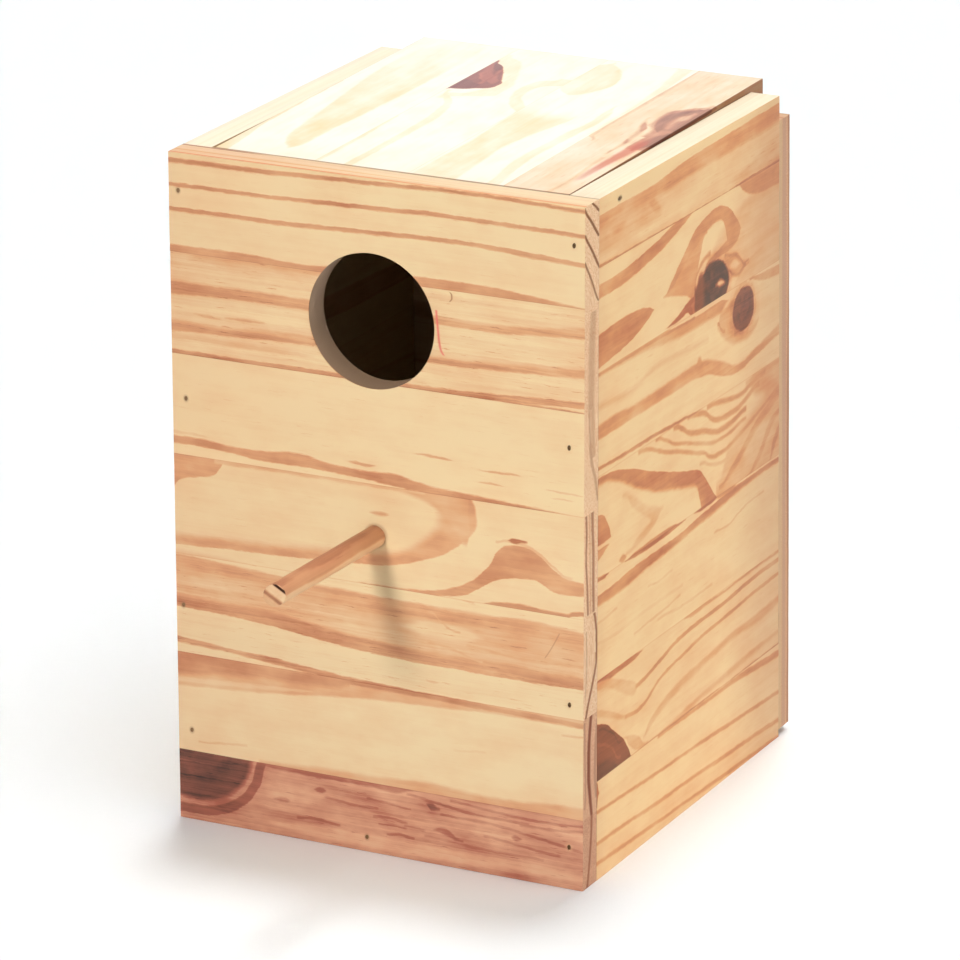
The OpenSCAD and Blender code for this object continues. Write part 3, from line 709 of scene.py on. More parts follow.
lidFigure = [
    {"base": 0.02, "pith": (23, 60), "streaks": 0.5, "dashes": 0.15, "bands": [
        band(0.3, 2, 2, (0, 14, 30, 0.1), (25, 8, 36, 0.2), (45, 6.2, 35.4, 0.45), (65, 7, 35, 0.7),
             (90, 10, 34.4), (110, 12.2, 34), (130, 15, 33.4), (150, 17, 32), (165, 19.4, 32),
             (173, 22.4, 31.6), (178, 25, 31), (182, 28, 29)),
        band(0.46, 4, 4, (110, 24, 26, 0.2), (150, 19, 30, 0.8), (168, 21.4, 31), (176, 25, 30.6),
             (181, 28, 29)),
        band(0.36, 0.6, 1.2, (80, -1, 0.8), (150, -1, 1.6), (165, -1, 3), (180, -1, 5), (195, -1, 6))]},
    {"base": 0.03, "pith": (70, 40), "streaks": 0.4, "dashes": 0.15,
     "palette": {"Brown": srgb(186, 116, 102), "Dark": srgb(128, 74, 70)}, "bands": [
        band(0.26, 1.6, 1.6, (38, 86, 92), (45, 79.6, 92), (52, 77, 85), (60, 76.2, 81.6), (70, 78, 83),
             (80, 81.6, 88.4), (88, 86.6, 92), (94, 91, 92)),
        band(0.2, 2, 2, (12, 47, 50), (20, 47, 58), (34, 50, 64), (48, 56, 69), (60, 62, 72),
             (72, 60, 72), (80, 50, 58), (86, 50, 54)),
        band(0.26, 1.2, 1.4, (74, 49, 50.5), (86, 53, 57), (94, 57, 61), (105, 59, 63.4), (120, 60.6, 65),
             (150, 61.2, 65), (195, 61, 65)),
        band(0.2, 1, 1.2, (120, 46, 48.6), (160, 46, 49.4), (195, 46, 49.4)),
        band(1.74, 1.2, 1.4, (22.5, 47, 48.4), (30, 47, 53.6), (40, 47, 58.8), (50, 47, 63), (57, 47, 65.4),
             (62, 47, 64.6), (66, 47, 58.4), (70, 47, 52), (73, 47, 47.6)),
        band(1.3, 2, 2, (25, 47, 48), (32, 48, 51), (40, 49, 54), (48, 52, 60), (54, 58, 63),
             (60, 62, 62)),
        band(2, 1.6, 1.6, (24, 48, 48.4), (29, 49.6, 53), (34, 51.4, 55), (39, 54, 54)),
        band(2, 2.4, 2.4, (56, 47, 52), (62, 47, 58), (68, 47, 54), (71, 47, 48)),
        line(1.15, 1.4, (36, 56), (42, 57), (47, 58.6), (52, 60), soft=2),
        line(1.1, 1.6, (43, 50), (47, 51.8), (51, 53.6), (54, 56.6), (58, 57), soft=2)]},
    {"base": 0.02, "pith": (110, 50), "streaks": 0.45, "dashes": 0.15, "bands": [
        band(0.24, 1.6, 2, (4, 96, 97), (12, 91, 102), (20, 91, 107), (28, 91, 109.6), (36, 91, 111.2),
             (44, 91, 109.8), (50, 92, 108), (57, 97, 103.6), (60, 100, 100)),
        band(0.36, 3.4, 1.2, (14, 103, 103.4), (22, 105, 107.8), (30, 107, 110.2), (38, 108, 111.2),
             (46, 107, 109.2), (52, 107, 107)),
        band(0.3, 2.4, 2.2, (80, 92, 119, 0), (104, 92, 116.4), (110, 92, 115), (118, 92.4, 113.4),
             (130, 93, 111.4), (145, 93.4, 110), (160, 93, 111), (175, 93, 112), (195, 93, 113.2)),
        band(0.24, 1.4, 1.4, (66, 126, 126.4), (80, 126, 130), (95, 127, 131), (110, 125, 130),
             (130, 124, 129), (150, 123, 128.4), (170, 124, 130), (180, 126, 131), (195, 127.4, 133.4)),
        band(0.2, 1.4, 0.8, (0, 125, 132), (20, 129, 134), (60, 133, 136), (110, 134, 136))]},
    {"base": 0.3, "pith": (190, 40), "streaks": 0.6, "dashes": 0.6,
     "palette": {"Pale": srgb(250, 238, 220), "Tan": srgb(236, 206, 168), "Brown": srgb(205, 150, 124),
                 "Dark": srgb(138, 92, 80)}, "bands": [
        band(0.36, 2, 1, (0, 134, 168), (105, 134, 168), (112, 137, 168), (120, 141.6, 168),
             (128, 147, 168), (136, 152.6, 168), (142, 155.4, 168), (160, 156, 168), (180, 155, 168),
             (195, 157, 168)),
        band(0.62, 0.6, 1.4, (0, 134, 136), (40, 134, 137), (90, 134, 136.6), (110, 134, 137),
             (118, 139, 140)),
        band(0.72, 2, 2, (77, 146.6, 147), (86, 147.6, 150), (96, 150, 153.4), (106, 151.4, 154),
             (118, 152.8, 155), (134, 153, 154)),
        band(1.05, 1.4, 1.4, (82, 148, 148), (88, 148.6, 150.6), (95, 151, 153), (100, 152.4, 152.4)),
        band(1, 1.4, 1.4, (108, 152, 152), (114, 152.6, 154), (120, 153.6, 153.6)),
        band(0.9, 1.2, 1.2, (126, 153.4, 153.4), (130, 152.8, 154), (134, 153.6, 153.6)),
        band(0.95, 3, 2, (50, 164, 168), (56, 159, 168), (60, 155, 168), (68, 151, 168), (84, 151, 168),
             (96, 156, 168), (104, 156, 168)),
        band(1.5, 1.4, 0.6, (55, 164, 168), (60, 158.4, 168), (66, 154.2, 168), (74, 152.2, 168),
             (82, 152.8, 168), (90, 155.4, 168), (97, 160.4, 168), (102, 166, 168)),
        band(0.9, 3, 3, (64, 162, 163), (72, 158.4, 163.4), (80, 157.6, 161), (88, 159, 162),
             (93, 161, 161)),
        band(1.7, 2, 2, (58, 161, 164), (64, 156.4, 160), (70, 154.6, 157), (78, 154, 156),
             (84, 155, 155)),
        band(0.86, 2, 2, (92, 159.6, 168, 0.4), (102, 158.4, 168), (115, 157.2, 168), (124, 157, 166)),
        band(1.6, 2.2, 2.2, (96, 164, 166.6), (102, 161.6, 168), (112, 160.4, 168), (120, 160, 164.4),
             (126, 161, 162)),
        band(0.5, 1, 1.4, (140, 154, 156), (160, 155, 157), (178, 156.4, 158.4), (195, 155, 157))],
     "stains": [
        (srgb(204, 104, 82), 0.76, 2.4, (100, 160, 161, 0), (110, 158.6, 163, 0.4), (120, 158, 163.4, 0.9),
         (132, 157.8, 163), (145, 157.6, 162), (160, 157.6, 161.2, 0.8), (172, 157.8, 160.4, 0.5),
         (184, 158.4, 159.6, 0))]},
]


def quietFigure(seed, top, bottom, length):
    # an unshown board of the same timber: a few easy bands and now and then a knot
    draw = random.Random(seed)
    bands = []
    place = top + draw.uniform(-4, 8)
    lean = draw.uniform(-9, 9)
    while place < bottom:
        width = draw.choice((0.9, 1.6, 3.0, 5.0, 8.0))
        lean += draw.uniform(-2.5, 2.5)
        bow = draw.uniform(-4, 4)
        bands.append(band(draw.uniform(0.3, 0.66), draw.uniform(0.7, 2.4), draw.uniform(0.9, 4.0),
                          (0, place, place + width),
                          (length * 0.35, place + bow + lean * 0.35, place + width + bow + lean * 0.35),
                          (length * 0.7, place + (bow + lean) * 0.7,
                          place + width * 1.2 + (bow + lean) * 0.7),
                          (length, place + lean, place + width + lean)))
        place += width + draw.uniform(4, 20)
    figure = {"base": draw.uniform(0.02, 0.14), "pith": (top - 40, draw.choice((-50, 60))),
              "streaks": draw.uniform(0.4, 0.9), "dashes": 0.4, "bands": bands}
    if draw.random() < 0.3:
        size = draw.uniform(6, 10)
        figure["knots"] = [{"along": draw.uniform(0.2, 0.8) * length,
                            "across": draw.uniform(top + 9, bottom - 9),
                            "radiusAlong": size * 1.2, "radiusAcross": size, "halo": 0.25, "tone": 1.4}]
    return figure


# the timbers, and how a board's material is put together

wallPine = {"Pale": srgb(243, 214, 166), "Tan": srgb(226, 169, 124), "Brown": srgb(184, 116, 82),
            "Dark": srgb(78, 52, 42), "End pale": srgb(226, 190, 152)}
sidePine = {"Pale": srgb(246, 211, 158), "Tan": srgb(226, 161, 110), "Brown": srgb(184, 108, 74),
            "Dark": srgb(84, 60, 44), "End pale": srgb(228, 192, 152)}
backPine = {"Pale": srgb(236, 204, 160), "Tan": srgb(216, 160, 120), "Brown": srgb(176, 116, 86),
            "Dark": srgb(84, 58, 46), "End pale": srgb(202, 160, 130)}
lidPine = {"Pale": srgb(251, 246, 231), "Tan": srgb(240, 217, 170), "Brown": srgb(205, 130, 100),
           "Dark": srgb(112, 66, 58), "End pale": srgb(226, 170, 132)}


bandFade = 0.8          # millimetres over which a band sets in or ends
figureMargin = 8        # how far past its board a band's edges may lie


def edgeCurves(along, length, low, span, places):
    # the two edges of a band as curves over the board's length, and how strongly it shows
    places = [place if len(place) == 4 else (*place, 1.0) for place in places]
    if places[0][0] > 0:
        places.insert(0, (places[0][0] - bandFade, *places[0][1:3], 0.0))
    if places[-1][0] < length:
        places.append((places[-1][0] + bandFade, *places[-1][1:3], 0.0))
    edges = derive("RGBCurve", {"Color": along / length})
    mapping = edges.socket.node.mapping
    mapping.extend = "HORIZONTAL"
    for channel in range(3):
        curve = mapping.curves[channel]
        for index, (x, top, bottom, strength) in enumerate(places):
            value = ((top - low) / span, (bottom - low) / span, strength)[channel]
            x = min(max(x / length, 0.0), 1.0)
            y = min(max(value, 0.0), 1.0)
            if index < 2:
                curve.points[index].location = (x, y)
            else:
                curve.points.new(x, y)
        for point in curve.points:
            point.handle_type = "AUTO_CLAMPED"
    mapping.update()
    return edges


def paintBand(across, edges, low, span, spec, under=0):
    return placeGroup(grainBand, {
        "Across": across, "Edges": edges, "Low": low, "Span": span, "Soft top": spec["softTop"],
        "Soft bottom": spec["softBottom"], "Tone": spec["tone"], "Under": under})


def paintTongue(cut, spec, under):
    return placeGroup(grainTongue, {
        **cut, "Start": spec["start"], "Middle": spec["middle"], "Slope": spec["slope"],
        "Reach": spec["reach"], "Half width": spec["half"], "Rim": spec["rim"],
        "Tip rim": spec["tipRim"], "Soft": spec["soft"], "Tone": spec["tone"], "Under": under})["Tone"]


def paintKnot(cut, depth, spec, under):
    return placeGroup(knotGroup, {
        **cut, "Depth": depth, "Centre along": spec["along"], "Centre across": spec["across"],
        "Radius along": spec["radiusAlong"], "Radius across": spec["radiusAcross"],
        "Halo": spec["halo"], "Tone": spec["tone"], "Under": under})["Tone"]


def addFigure(cut, depth, figure, top, bottom, length):
    # paints the figure from the palest wood up, one feature over the other
    low = top - figureMargin
    span = bottom - top + 2 * figureMargin
    tone = figure["base"]

    def addBand(spec, tone):
        edges = edgeCurves(cut["Along"], length, low, span, spec["places"])
        return paintBand(cut["Across"], edges, low, span, spec, tone)["Tone"]

    for spec in figure.get("tongues", []):
        tone = paintTongue(cut, spec, tone)
    for spec in figure["bands"]:
        tone = addBand(spec, tone)
    for spec in figure.get("arcs", []):
        arc = {"start": spec["along"], "middle": spec["across"], "slope": 0.0,
               "reach": spec["radiusAlong"], "half": spec["radiusAcross"], "rim": spec["width"],
               "tipRim": spec["width"], "soft": 1.5, "tone": spec["tone"]}
        tone = paintTongue(cut, arc, tone)
    for spec in figure.get("knots", []):
        tone = paintKnot(cut, depth, spec, tone)
    # small patches of tone, a painted highlight on a knot among them
    for fleckTone, soft, *places in figure.get("flecksAndGlint", []):
        tone = addBand(band(fleckTone, soft, soft, *places), tone)
    return tone


def addStain(cut, span, length, spec, strength, color):
    # a band with a colour of its own instead of a tone
    low = span[0] - figureMargin
    wide = span[1] - span[0] + 2 * figureMargin
    edges = edgeCurves(cut["Along"], length, low, wide, spec["places"])
    mask = paintBand(cut["Across"], edges, low, wide, {**spec, "tone": 1})["Mask"]
    return blendColor(mask * strength, color, spec["tone"])


def spotMask(where, spot):
    return placeGroup(spotGroup, {
        "Along": where["Along"], "Across": where["Across"], "Centre along": spot["along"],
        "Centre across": spot["across"], "Radius along": spot["radiusAlong"],
        "Radius across": spot["radiusAcross"], "Soft": spot["soft"]})["Mask"]


def addBore(bore, where, fibre, color):
    # the sawn wall of the entrance: grey brown from its sawn end grain, darker towards the top; that change
    # from top to bottom is painted shade
    deep = ease(where["Depth"], 0.25, 0.6)
    upper = bore["across"] - bore["radiusAcross"] * 0.6
    down = ease(where["Across"], upper, bore["across"] + bore["radiusAcross"])
    wall = blendColor(down, bore["upper"], bore["lower"])
    wall = blendColor(fibre["Pore"] * 0.5, wall, bore["upper"])
    return blendColor(spotMask(where, bore) * deep, color, wall)


def crossMask(across, value, low, span, soft, places):
    # a band that runs across the board, between the two edges of its (across, from, to) places
    first = places[0][0]
    length = places[-1][0] - first
    run = across - first
    edges = edgeCurves(run, length, low, span, [(place[0] - first, *place[1:]) for place in places])
    mask = paintBand(value, edges, low, span, band(1, soft, soft))["Mask"]
    return mask * ease(run, 0, bandFade) * (1.0 - ease(run, length - bandFade, length))


def addMark(mark, where, color):
    # a scratch or crack that runs across the grain, through (across, along) places
    half = mark["width"] / 2
    places = [(across, along - half, along + half) for across, along in mark["places"]]
    mask = crossMask(where["Across"], where["Along"], 0, 200, mark["width"] * 0.8, places)
    onFace = 1.0 - ease(where["Depth"], 0.2, 0.5)
    return blendColor(mask * onFace * mark["strength"], color, mark["color"])


def addEndBands(base, bands, panel, where, fibre, color):
    # growth rings on the sawn ends that can be seen, as (across, from, to) places in depth
    half = panel["length"] / 2
    farther = ease(where["Along"], half, half + 1)
    shown = where["End"] * (farther if panel["shownEnd"] == "far" else 1.0 - farther)
    speckled = blendColor(ease(fibre["Pore"], 0.35, 0.7), base[0], base[1])
    color = blendColor(shown * base[2], color, speckled)
    frayed = (fibre["Pore"] - 0.5) * 1.3 + where["Depth"]
    for tint, strength, soft, *places in bands:
        mask = crossMask(where["Across"], frayed, -4, 24, soft, places)
        color = blendColor(mask * shown * strength, color, tint)
    return color


def addEdgeLines(lines, where, color):
    # growth rings along a panel's upper edge, and a line of painted shade at the gap behind the front panel
    for depth, half, soft, fadeFrom, fadeTo, tint, strength in lines:
        mask = stripe(where["Depth"], depth, half, soft) * ease(where["Along"], fadeTo, fadeFrom)
        color = blendColor(mask * where["Edge"] * strength, color, tint)
    return color


def startWood(name, origin, grain, cross, inward):
    # a material that knows its place in the wood
    material, shader = startMaterial(name)
    shader["Specular IOR Level"].default_value = 0.1
    place = addNode(material.node_tree, "TexCoord").outputs
    where = placeGroup(staveFrame, {
        "Position": Value(place["Object"]), "Normal": Value(place["Normal"]), "Origin": origin,
        "Grain": grain, "Cross": cross, "Inward": inward})
    return material, shader, where


def finishWood(shader, color, wood):
    plug(color, shader["Base Color"])
    plug(wood["Roughness"], shader["Roughness"])
    roughen(shader, wood["Height"], 0.5)


def makeStaveMaterial(name, panel, figure, top, bottom, seed, palette, spots):
    material, shader, where = startWood(
        name, panel["origin"], panel["grain"], panel["cross"], panel["inward"])
    # a figure is drawn on a board of one size, and a board of a leaning panel stretches it a little
    reach = where["Across"] * panel["farSlope"] + panel["farTop"]
    drawn = where["Along"] / reach * panel["drawn"]
    drawnTop, drawnBottom = figure.get("span", (top, bottom))
    taller = (drawnBottom - drawnTop) / (bottom - top)
    drawnAcross = where["Across"] * taller + (drawnTop - top * taller)
    cut = placeGroup(sawCut, {
        "Along": drawn, "Across": drawnAcross, "Depth": where["Depth"], "Seed": seed,
        "Pith across": figure["pith"][0], "Pith depth": figure["pith"][1],
        "Waver": figure.get("waver", 0.5)})
    tone = addFigure(cut, where["Depth"], figure, drawnTop, drawnBottom, panel["drawn"])
    # the glue line shows as a hair-thin darker seam
    toEdge = calc("MINIMUM", where["Across"] - top, bottom - where["Across"])
    tone = (1.0 - ease(toEdge, 0.05, 0.3)) * 0.22 + tone
    fibre = placeGroup(fibreGroup, {
        "Along": where["Along"], "Across": cut["Across"], "Depth": where["Depth"], "Seed": seed * 3.7})
    # bands come and go a little along their length, and knots hold their tone
    uneven = (1.0 - ease(tone, 1.1, 1.5)) * 1.15
    tone = tone * ((fibre["Mottle"] - 0.5) * uneven + 1.0)
    wood = placeGroup(pineColour, {
        **fibre, **palette, "Tone": tone, "End": where["End"], "Streaks": figure["streaks"],
        "Dashes": figure["dashes"]})
    color = wood["Color"]
    for tint, strength, soft, *places in figure.get("stains", []):
        stain = band(tint, soft, soft, *places)
        color = addStain(cut, (drawnTop, drawnBottom), panel["drawn"], stain, strength, color)
    # the upward-facing edge in its own colours; the side panels' pale cream there is a painted highlight
    if panel.get("edge"):
        streaky = clamp(fibre["Streak"] * 0.5 + 0.1)
        edgeColor = blendColor(streaky, *panel["edge"])
        color = blendColor(where["Edge"] * 0.85, color, edgeColor)
    color = addEdgeLines(panel.get("edgeLines", []), where, color)
    if panel.get("endBase"):
        endBands = panel.get("ends", []) + figure.get("ends", [])
        endBase = figure.get("endBase", panel["endBase"])
        color = addEndBands(endBase, endBands, panel, where, fibre, color)
    # the shades multiplied in, painted shade among them
    for shade, *ramps in panel.get("shades", []) + figure.get("shades", []):
        mask = 1.0
        for axis, start, end in ramps:
            mask = mask * ease(where[axis], start, end)
        color = blendColor(mask, color, shade, "MULTIPLY")
    for spot in spots:
        color = blendColor(spotMask(where, spot) * spot["strength"], color, spot["color"])
    if panel.get("bore"):
        color = addBore(panel["bore"], where, fibre, color)
    # inside the box the wood is made duller, cooler and a little darker: painted shade
    inner = ease(where["Depth"], panel["thick"] - 0.4, panel["thick"] - 0.1)
    color = blendColor(inner * 0.4, color, srgb(222, 196, 158))
    color = blendColor(inner, color, (0.9, 0.94, 0.99, 1), "MULTIPLY")
    for mark in figure.get("marks", []):
        color = addMark(mark, where, color)
    finishWood(shader, color, wood)
    return material


# panels and their staves

def panelBox(prefix):
    boxes = [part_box(name) for name in nodes if name.startswith(prefix)]
    low = Vector([min(box[0][axis] for box in boxes) for axis in range(3)])
    high = Vector([max(box[1][axis] for box in boxes) for axis in range(3)])
    return low, high


def facing(name, toward):
    # the normal of a sloping board's largest face that looks this way
    faces = [face for face in nodes[name].data.polygons if face.normal.dot(toward) > 0.9]
    return max(faces, key=lambda face: face.area).normal.copy()


def cornerOf(name, toward):
    return max((vertex.co for vertex in nodes[name].data.vertices), key=toward.dot).copy()


frontLow, frontHigh = panelBox("front_stave")
rightLow, rightHigh = panelBox("right_stave")
leftLow, leftHigh = panelBox("left_stave")
floorLow = panelBox("floor_stave")[0]
# the lid and the back panel slope a little
lidUp = facing("lid_stave_1", Vector((0, 0, 1)))
lidGrain = Vector((0, -lidUp.z, lidUp.y))
lidCorner = cornerOf("lid_stave_1", Vector((-0.001, 0, 1)))
backOut = facing("back_stave_1", Vector((0, 1, 0)))
backDown = Vector((0, backOut.z, -backOut.y))
backCorner = cornerOf("back_stave_1", Vector((0.001, 0, 1)))

# how far a nail's mouth closed along and across the grain, and the stain or pale bruise around it
slotted = {"nail": (0.62, 0.8), "radiusAlong": 1.7, "radiusAcross": 2.2, "soft": 0.7, "strength": 0.6,
           "color": srgb(160, 116, 86)}
punched = {"nail": (0.62, 0.95), "radiusAlong": 2.7, "radiusAcross": 3.0, "soft": 0.6, "strength": 0.22,
           "color": srgb(232, 190, 144)}
pinned = {"nail": (1.4, 0.62), "radiusAlong": 3.0, "radiusAcross": 1.8, "soft": 0.6, "strength": 0.5,
          "color": srgb(120, 84, 60)}


def makePanel(seed, origin, grain, cross, inward, **own):
    # its axes, what most panels share and what this one has of its own
    return {"seed": seed, "origin": Vector(origin), "grain": Vector(grain), "cross": Vector(cross),
            "inward": Vector(inward), "figures": None, "body": "box", "slot": "pine",
            "palette": wallPine, "ragged": 0.06, "nails": None, "roundFrom": 400, **own}


# edge: the two colours of the upper edge; the side panels' pale cream is a painted highlight of their lit
# top edges
# endBase: two tints that the pores mix on sawn ends, and how fully they cover
# shades: a colour to multiply with and the ramps (axis, start, end) where it sets in; the front's darker
# left and foot and the dark lines at the gaps are painted shade
# edgeLines: (depth, half width, soft, fade from, fade to, tint, strength)
panels = {
    "front_stave": makePanel(
        1, (frontLow.x, frontLow.y, frontHigh.z), (1, 0, 0), (0, 0, -1), (0, 1, 0),
        figures=frontFigure, nails="front_nails", nailLook=slotted, roundFrom=120,
        edge=(srgb(236, 208, 166), srgb(214, 164, 118)),
        shownEnd="far", endBase=(srgb(250, 218, 178), srgb(214, 158, 116), 0.9),
        shades=[
            # painted shade: the front darker towards its left end, on its top edge too, and towards its foot
            ((0.95, 0.90, 0.89, 1), ("Along", 110, -10)),
            ((0.94, 0.85, 0.80, 1), ("Along", 150, 20), ("Edge", 0, 1)),
            ((0.93, 0.95, 0.99, 1), ("Across", 120, 262))],
        edgeLines=[
            (0.8, 0.7, 0.5, 400, 500, srgb(226, 144, 92), 0.8),
            (5.5, 0.7, 0.8, 60, 150, srgb(226, 168, 110), 0.7),
            (12.6, 0.8, 0.5, 26, 48, srgb(170, 108, 62), 0.9),
            # painted shade: a dark line along the rear arris of the top, where the gap to the lid is
            (13.25, 0.45, 0.4, 150, 30, srgb(112, 72, 42), 0.85)]),
    "right_stave": makePanel(
        11, (rightHigh.x, rightLow.y, rightHigh.z), (0, 1, 0), (0, 0, -1), (-1, 0, 0),
        figures=rightFigure, drawn=186, joints=(0, 31, 76.1, 121.2, 166.3, 211.4, 256.5, 300),
        nails="hinge_pin_right", nailLook=pinned, palette=sidePine,
        # painted highlight: the pale cream of the lit top edge
        edge=(srgb(249, 238, 210), srgb(242, 218, 178)),
        shades=[
            ((0.80, 0.75, 0.78, 1), ("Along", 120, 190), ("Edge", 1, 0)),
            ((0.95, 0.92, 0.92, 1), ("Along", 14, 0))]),
    "left_stave": makePanel(
        21, (leftLow.x, leftLow.y, leftHigh.z), (0, 1, 0), (0, 0, -1), (1, 0, 0),
        # painted highlight: the pale cream of the lit top edge
        nails="hinge_pin_left", nailLook=pinned, edge=(srgb(250, 240, 214), srgb(244, 222, 186)),
        # painted shade in the gap beside the lid, on the inner face just below the top
        shades=[((0.70, 0.60, 0.50, 1), ("Depth", 13.1, 13.4), ("Across", 2.5, 0.5))]),
    "back_stave": makePanel(
        31, backCorner, (-1, 0, 0), backDown, -backOut,
        nails="back_nails", nailLook=slotted, palette=backPine, ragged=0.2,
        shownEnd="near", endBase=(srgb(222, 180, 142), srgb(190, 142, 106), 0.92),
        ends=[
            (srgb(206, 178, 140), 0.5, 1.4, (-5, 8.0, 14), (140, 7.6, 14), (300, 8.2, 14)),
            (srgb(190, 150, 130), 0.6, 1.8, (-5, 3.4, 7.4), (90, 3.0, 7.8), (200, 3.8, 7.0),
             (300, 3.4, 7.6)),
            (srgb(160, 110, 85), 0.8, 1.6, (-5, -3, 2.0), (60, -3, 1.2), (150, -3, 2.4),
             (230, -3, 1.4), (300, -3, 2.2))]),
    "floor_stave": makePanel(41, floorLow, (0, 1, 0), (1, 0, 0), (0, 0, 1)),
    "lid_stave": makePanel(
        51, lidCorner, lidGrain, (1, 0, 0), -lidUp,
        figures=lidFigure, body="lid", slot="pine_lid", palette=lidPine,
        shades=[
            # painted shade: dark lines on the lid's right side, left side and front end, at the gaps to the
            # walls
            ((0.42, 0.30, 0.23, 1), ("Across", 165.15, 165.4)),
            ((0.74, 0.62, 0.50, 1), ("Across", 0.35, 0.1)),
            ((0.46, 0.34, 0.26, 1), ("Along", 193.5, 194.3)),
            ((0.985, 0.95, 0.92, 1), ("Along", 150, 200))]),
}

arris = {"ease": 0.35, "segments": 2, "piece": 9.0, "profile": 0.6,     # millimetres
         "waves": 130,          # of its unevenness, in a metre
         "onPlane": 0.03,       # how near a point is to an outer plane that it lies on
         "nearPlane": 0.35}     # the same once it has been made uneven


def inPanel(panel, point):
    away = point - panel["origin"]
    return Vector((away.dot(panel["grain"]), away.dot(panel["cross"]), away.dot(panel["inward"]))) / mm


def outerPlanes(panel, spot):
    # near and far outer planes along the three axes at this place: the far end may lean
    return ((0, panel["farTop"] + panel["farSlope"] * spot.y), (0, panel["size"].y), (0, panel["size"].z))


def weldedCopy(name, flatWithin=None):
    # a node's mesh, with the faces joined that lie flat within this angle
    mesh = bmesh.new()
    mesh.from_mesh(nodes[name].data)
    bmesh.ops.remove_doubles(mesh, verts=mesh.verts, dist=1e-6)
    if flatWithin:
        angle = math.radians(flatWithin)
        bmesh.ops.dissolve_limit(mesh, angle_limit=angle, verts=mesh.verts, edges=mesh.edges)
    return mesh


def easeStave(name, panel):
    # a copy of the stave with the outer arrises of its panel eased by hand and slightly uneven
    mesh = weldedCopy(name, flatWithin=0.5)

    def planesOf(vertex):
        spot = inPanel(panel, vertex.co)
        found = set()
        for axis, planes in enumerate(outerPlanes(panel, spot)):
            for side, plane in enumerate(planes):
                if abs(spot[axis] - plane) < arris["onPlane"]:
                    found.add((axis, side))
        return found

    def isArris(edge):
        return len(planesOf(edge.verts[0]) & planesOf(edge.verts[1])) >= 2

    for edge in [edge for edge in mesh.edges if isArris(edge)]:
        pieces = max(1, round(edge.calc_length() / mm / arris["piece"]))
        for index in range(pieces - 1):
            start = edge.verts[0]
            newEdge, vertex = bmesh.utils.edge_split(edge, start, 1 / (pieces - index))
            edge = edge if vertex in edge.verts and start not in edge.verts else newEdge
    for vertex in mesh.verts:
        planes = planesOf(vertex)
        if len(planes) >= 2:
            wobble = noise.noise_vector(vertex.co * arris["waves"]) * panel["ragged"] * mm
            for axis, direction in enumerate(("grain", "cross", "inward")):
                if (axis, 0) in planes:
                    vertex.co += panel[direction] * abs(wobble[axis])
                if (axis, 1) in planes:
                    vertex.co -= panel[direction] * abs(wobble[axis])
    edges = [edge for edge in mesh.edges if isArris(edge) or len(
        {plane for end in edge.verts for plane in planesOf(end)}) >= 2 and nearArris(edge, panel)]
    bmesh.ops.bevel(mesh, geom=edges, offset=arris["ease"] * mm, segments=arris["segments"],
                    profile=arris["profile"], affect="EDGES", clamp_overlap=True)
    return mesh


def nearArris(edge, panel):
    # after the wobble an arris still has both its faces on outer planes of the panel
    normals = [face.normal for face in edge.link_faces]
    if len(normals) != 2 or normals[0].dot(normals[1]) > 0.3:
        return False
    spots = [inPanel(panel, vertex.co) for vertex in edge.verts]
    close = 0
    for axis in range(3):
        for side in range(2):
            away = [abs(spot[axis] - outerPlanes(panel, spot)[axis][side]) for spot in spots]
            if max(away) < arris["nearPlane"]:
                close += 1
    return close >= 2


mouth = {"depth": 0.2, "reach": 1.7, "lean": 12, "leanVaries": 9}      # millimetres and degrees
sharpEdge = math.radians(28)


def closeNailHoles(mesh, panel, spots):
    # the wood springs back over a punched nail, so only a narrow slot stays open
    for vertex in mesh.verts:
        place = inPanel(panel, vertex.co)
        if place.z > mouth["depth"]:
            continue
        for index, spot in enumerate(spots):
            along = place.x - spot["along"]
            across = place.y - spot["across"]
            if spot.get("nail") and math.hypot(along, across) < mouth["reach"]:
                turn = math.sin(index * 2.3 + spot["across"])
                lean = math.radians(mouth["lean"] + mouth["leanVaries"] * turn)
                wide, high = spot["nail"]
                narrow = along * wide - across * math.sin(lean) * (1 - wide)
                vertex.co += panel["grain"] * (narrow - along) * mm
                vertex.co += panel["cross"] * across * (high - 1) * mm
                break


def finishMesh(mesh, name, material):
    bmesh.ops.triangulate(mesh, faces=[face for face in mesh.faces if len(face.verts) > 4])
    for edge in mesh.edges:
        edge.smooth = len(edge.link_faces) != 2 or edge.calc_face_angle() < sharpEdge
    for face in mesh.faces:
        face.smooth = True
    data = bpy.data.meshes.new(name)
    mesh.to_mesh(data)
    mesh.free()
    data.materials.append(material)
    piece = bpy.data.objects.new(name, data)
    bpy.context.scene.collection.objects.link(piece)
    return piece


def islands(name):
    # the separate lumps of a node, as lists of points
    mesh = weldedCopy(name)
    left = set(mesh.verts)
    lumps = []
    while left:
        pending = [left.pop()]
        lump = []
        while pending:
            vertex = pending.pop()
            lump.append(vertex.co.copy())
            for edge in vertex.link_edges:
                other = edge.other_vert(vertex)
                if other in left:
                    left.remove(other)
                    pending.append(other)
        lumps.append(lump)
    mesh.free()
    return lumps


def nailSpots(panel):
    # where the nails enter the panel's face, each with its look
    spots = []
    for lump in islands(panel["nails"]) if panel["nails"] else []:
        places = [inPanel(panel, point) for point in lump]
        along = (min(place.x for place in places) + max(place.x for place in places)) / 2
        across = (min(place.y for place in places) + max(place.y for place in places)) / 2
        look = panel["nailLook"] if along < panel["roundFrom"] else punched
        spots.append({"along": along, "across": across, **look})
    return sorted(spots, key=lambda spot: (round(spot["across"], 2), spot["along"]))


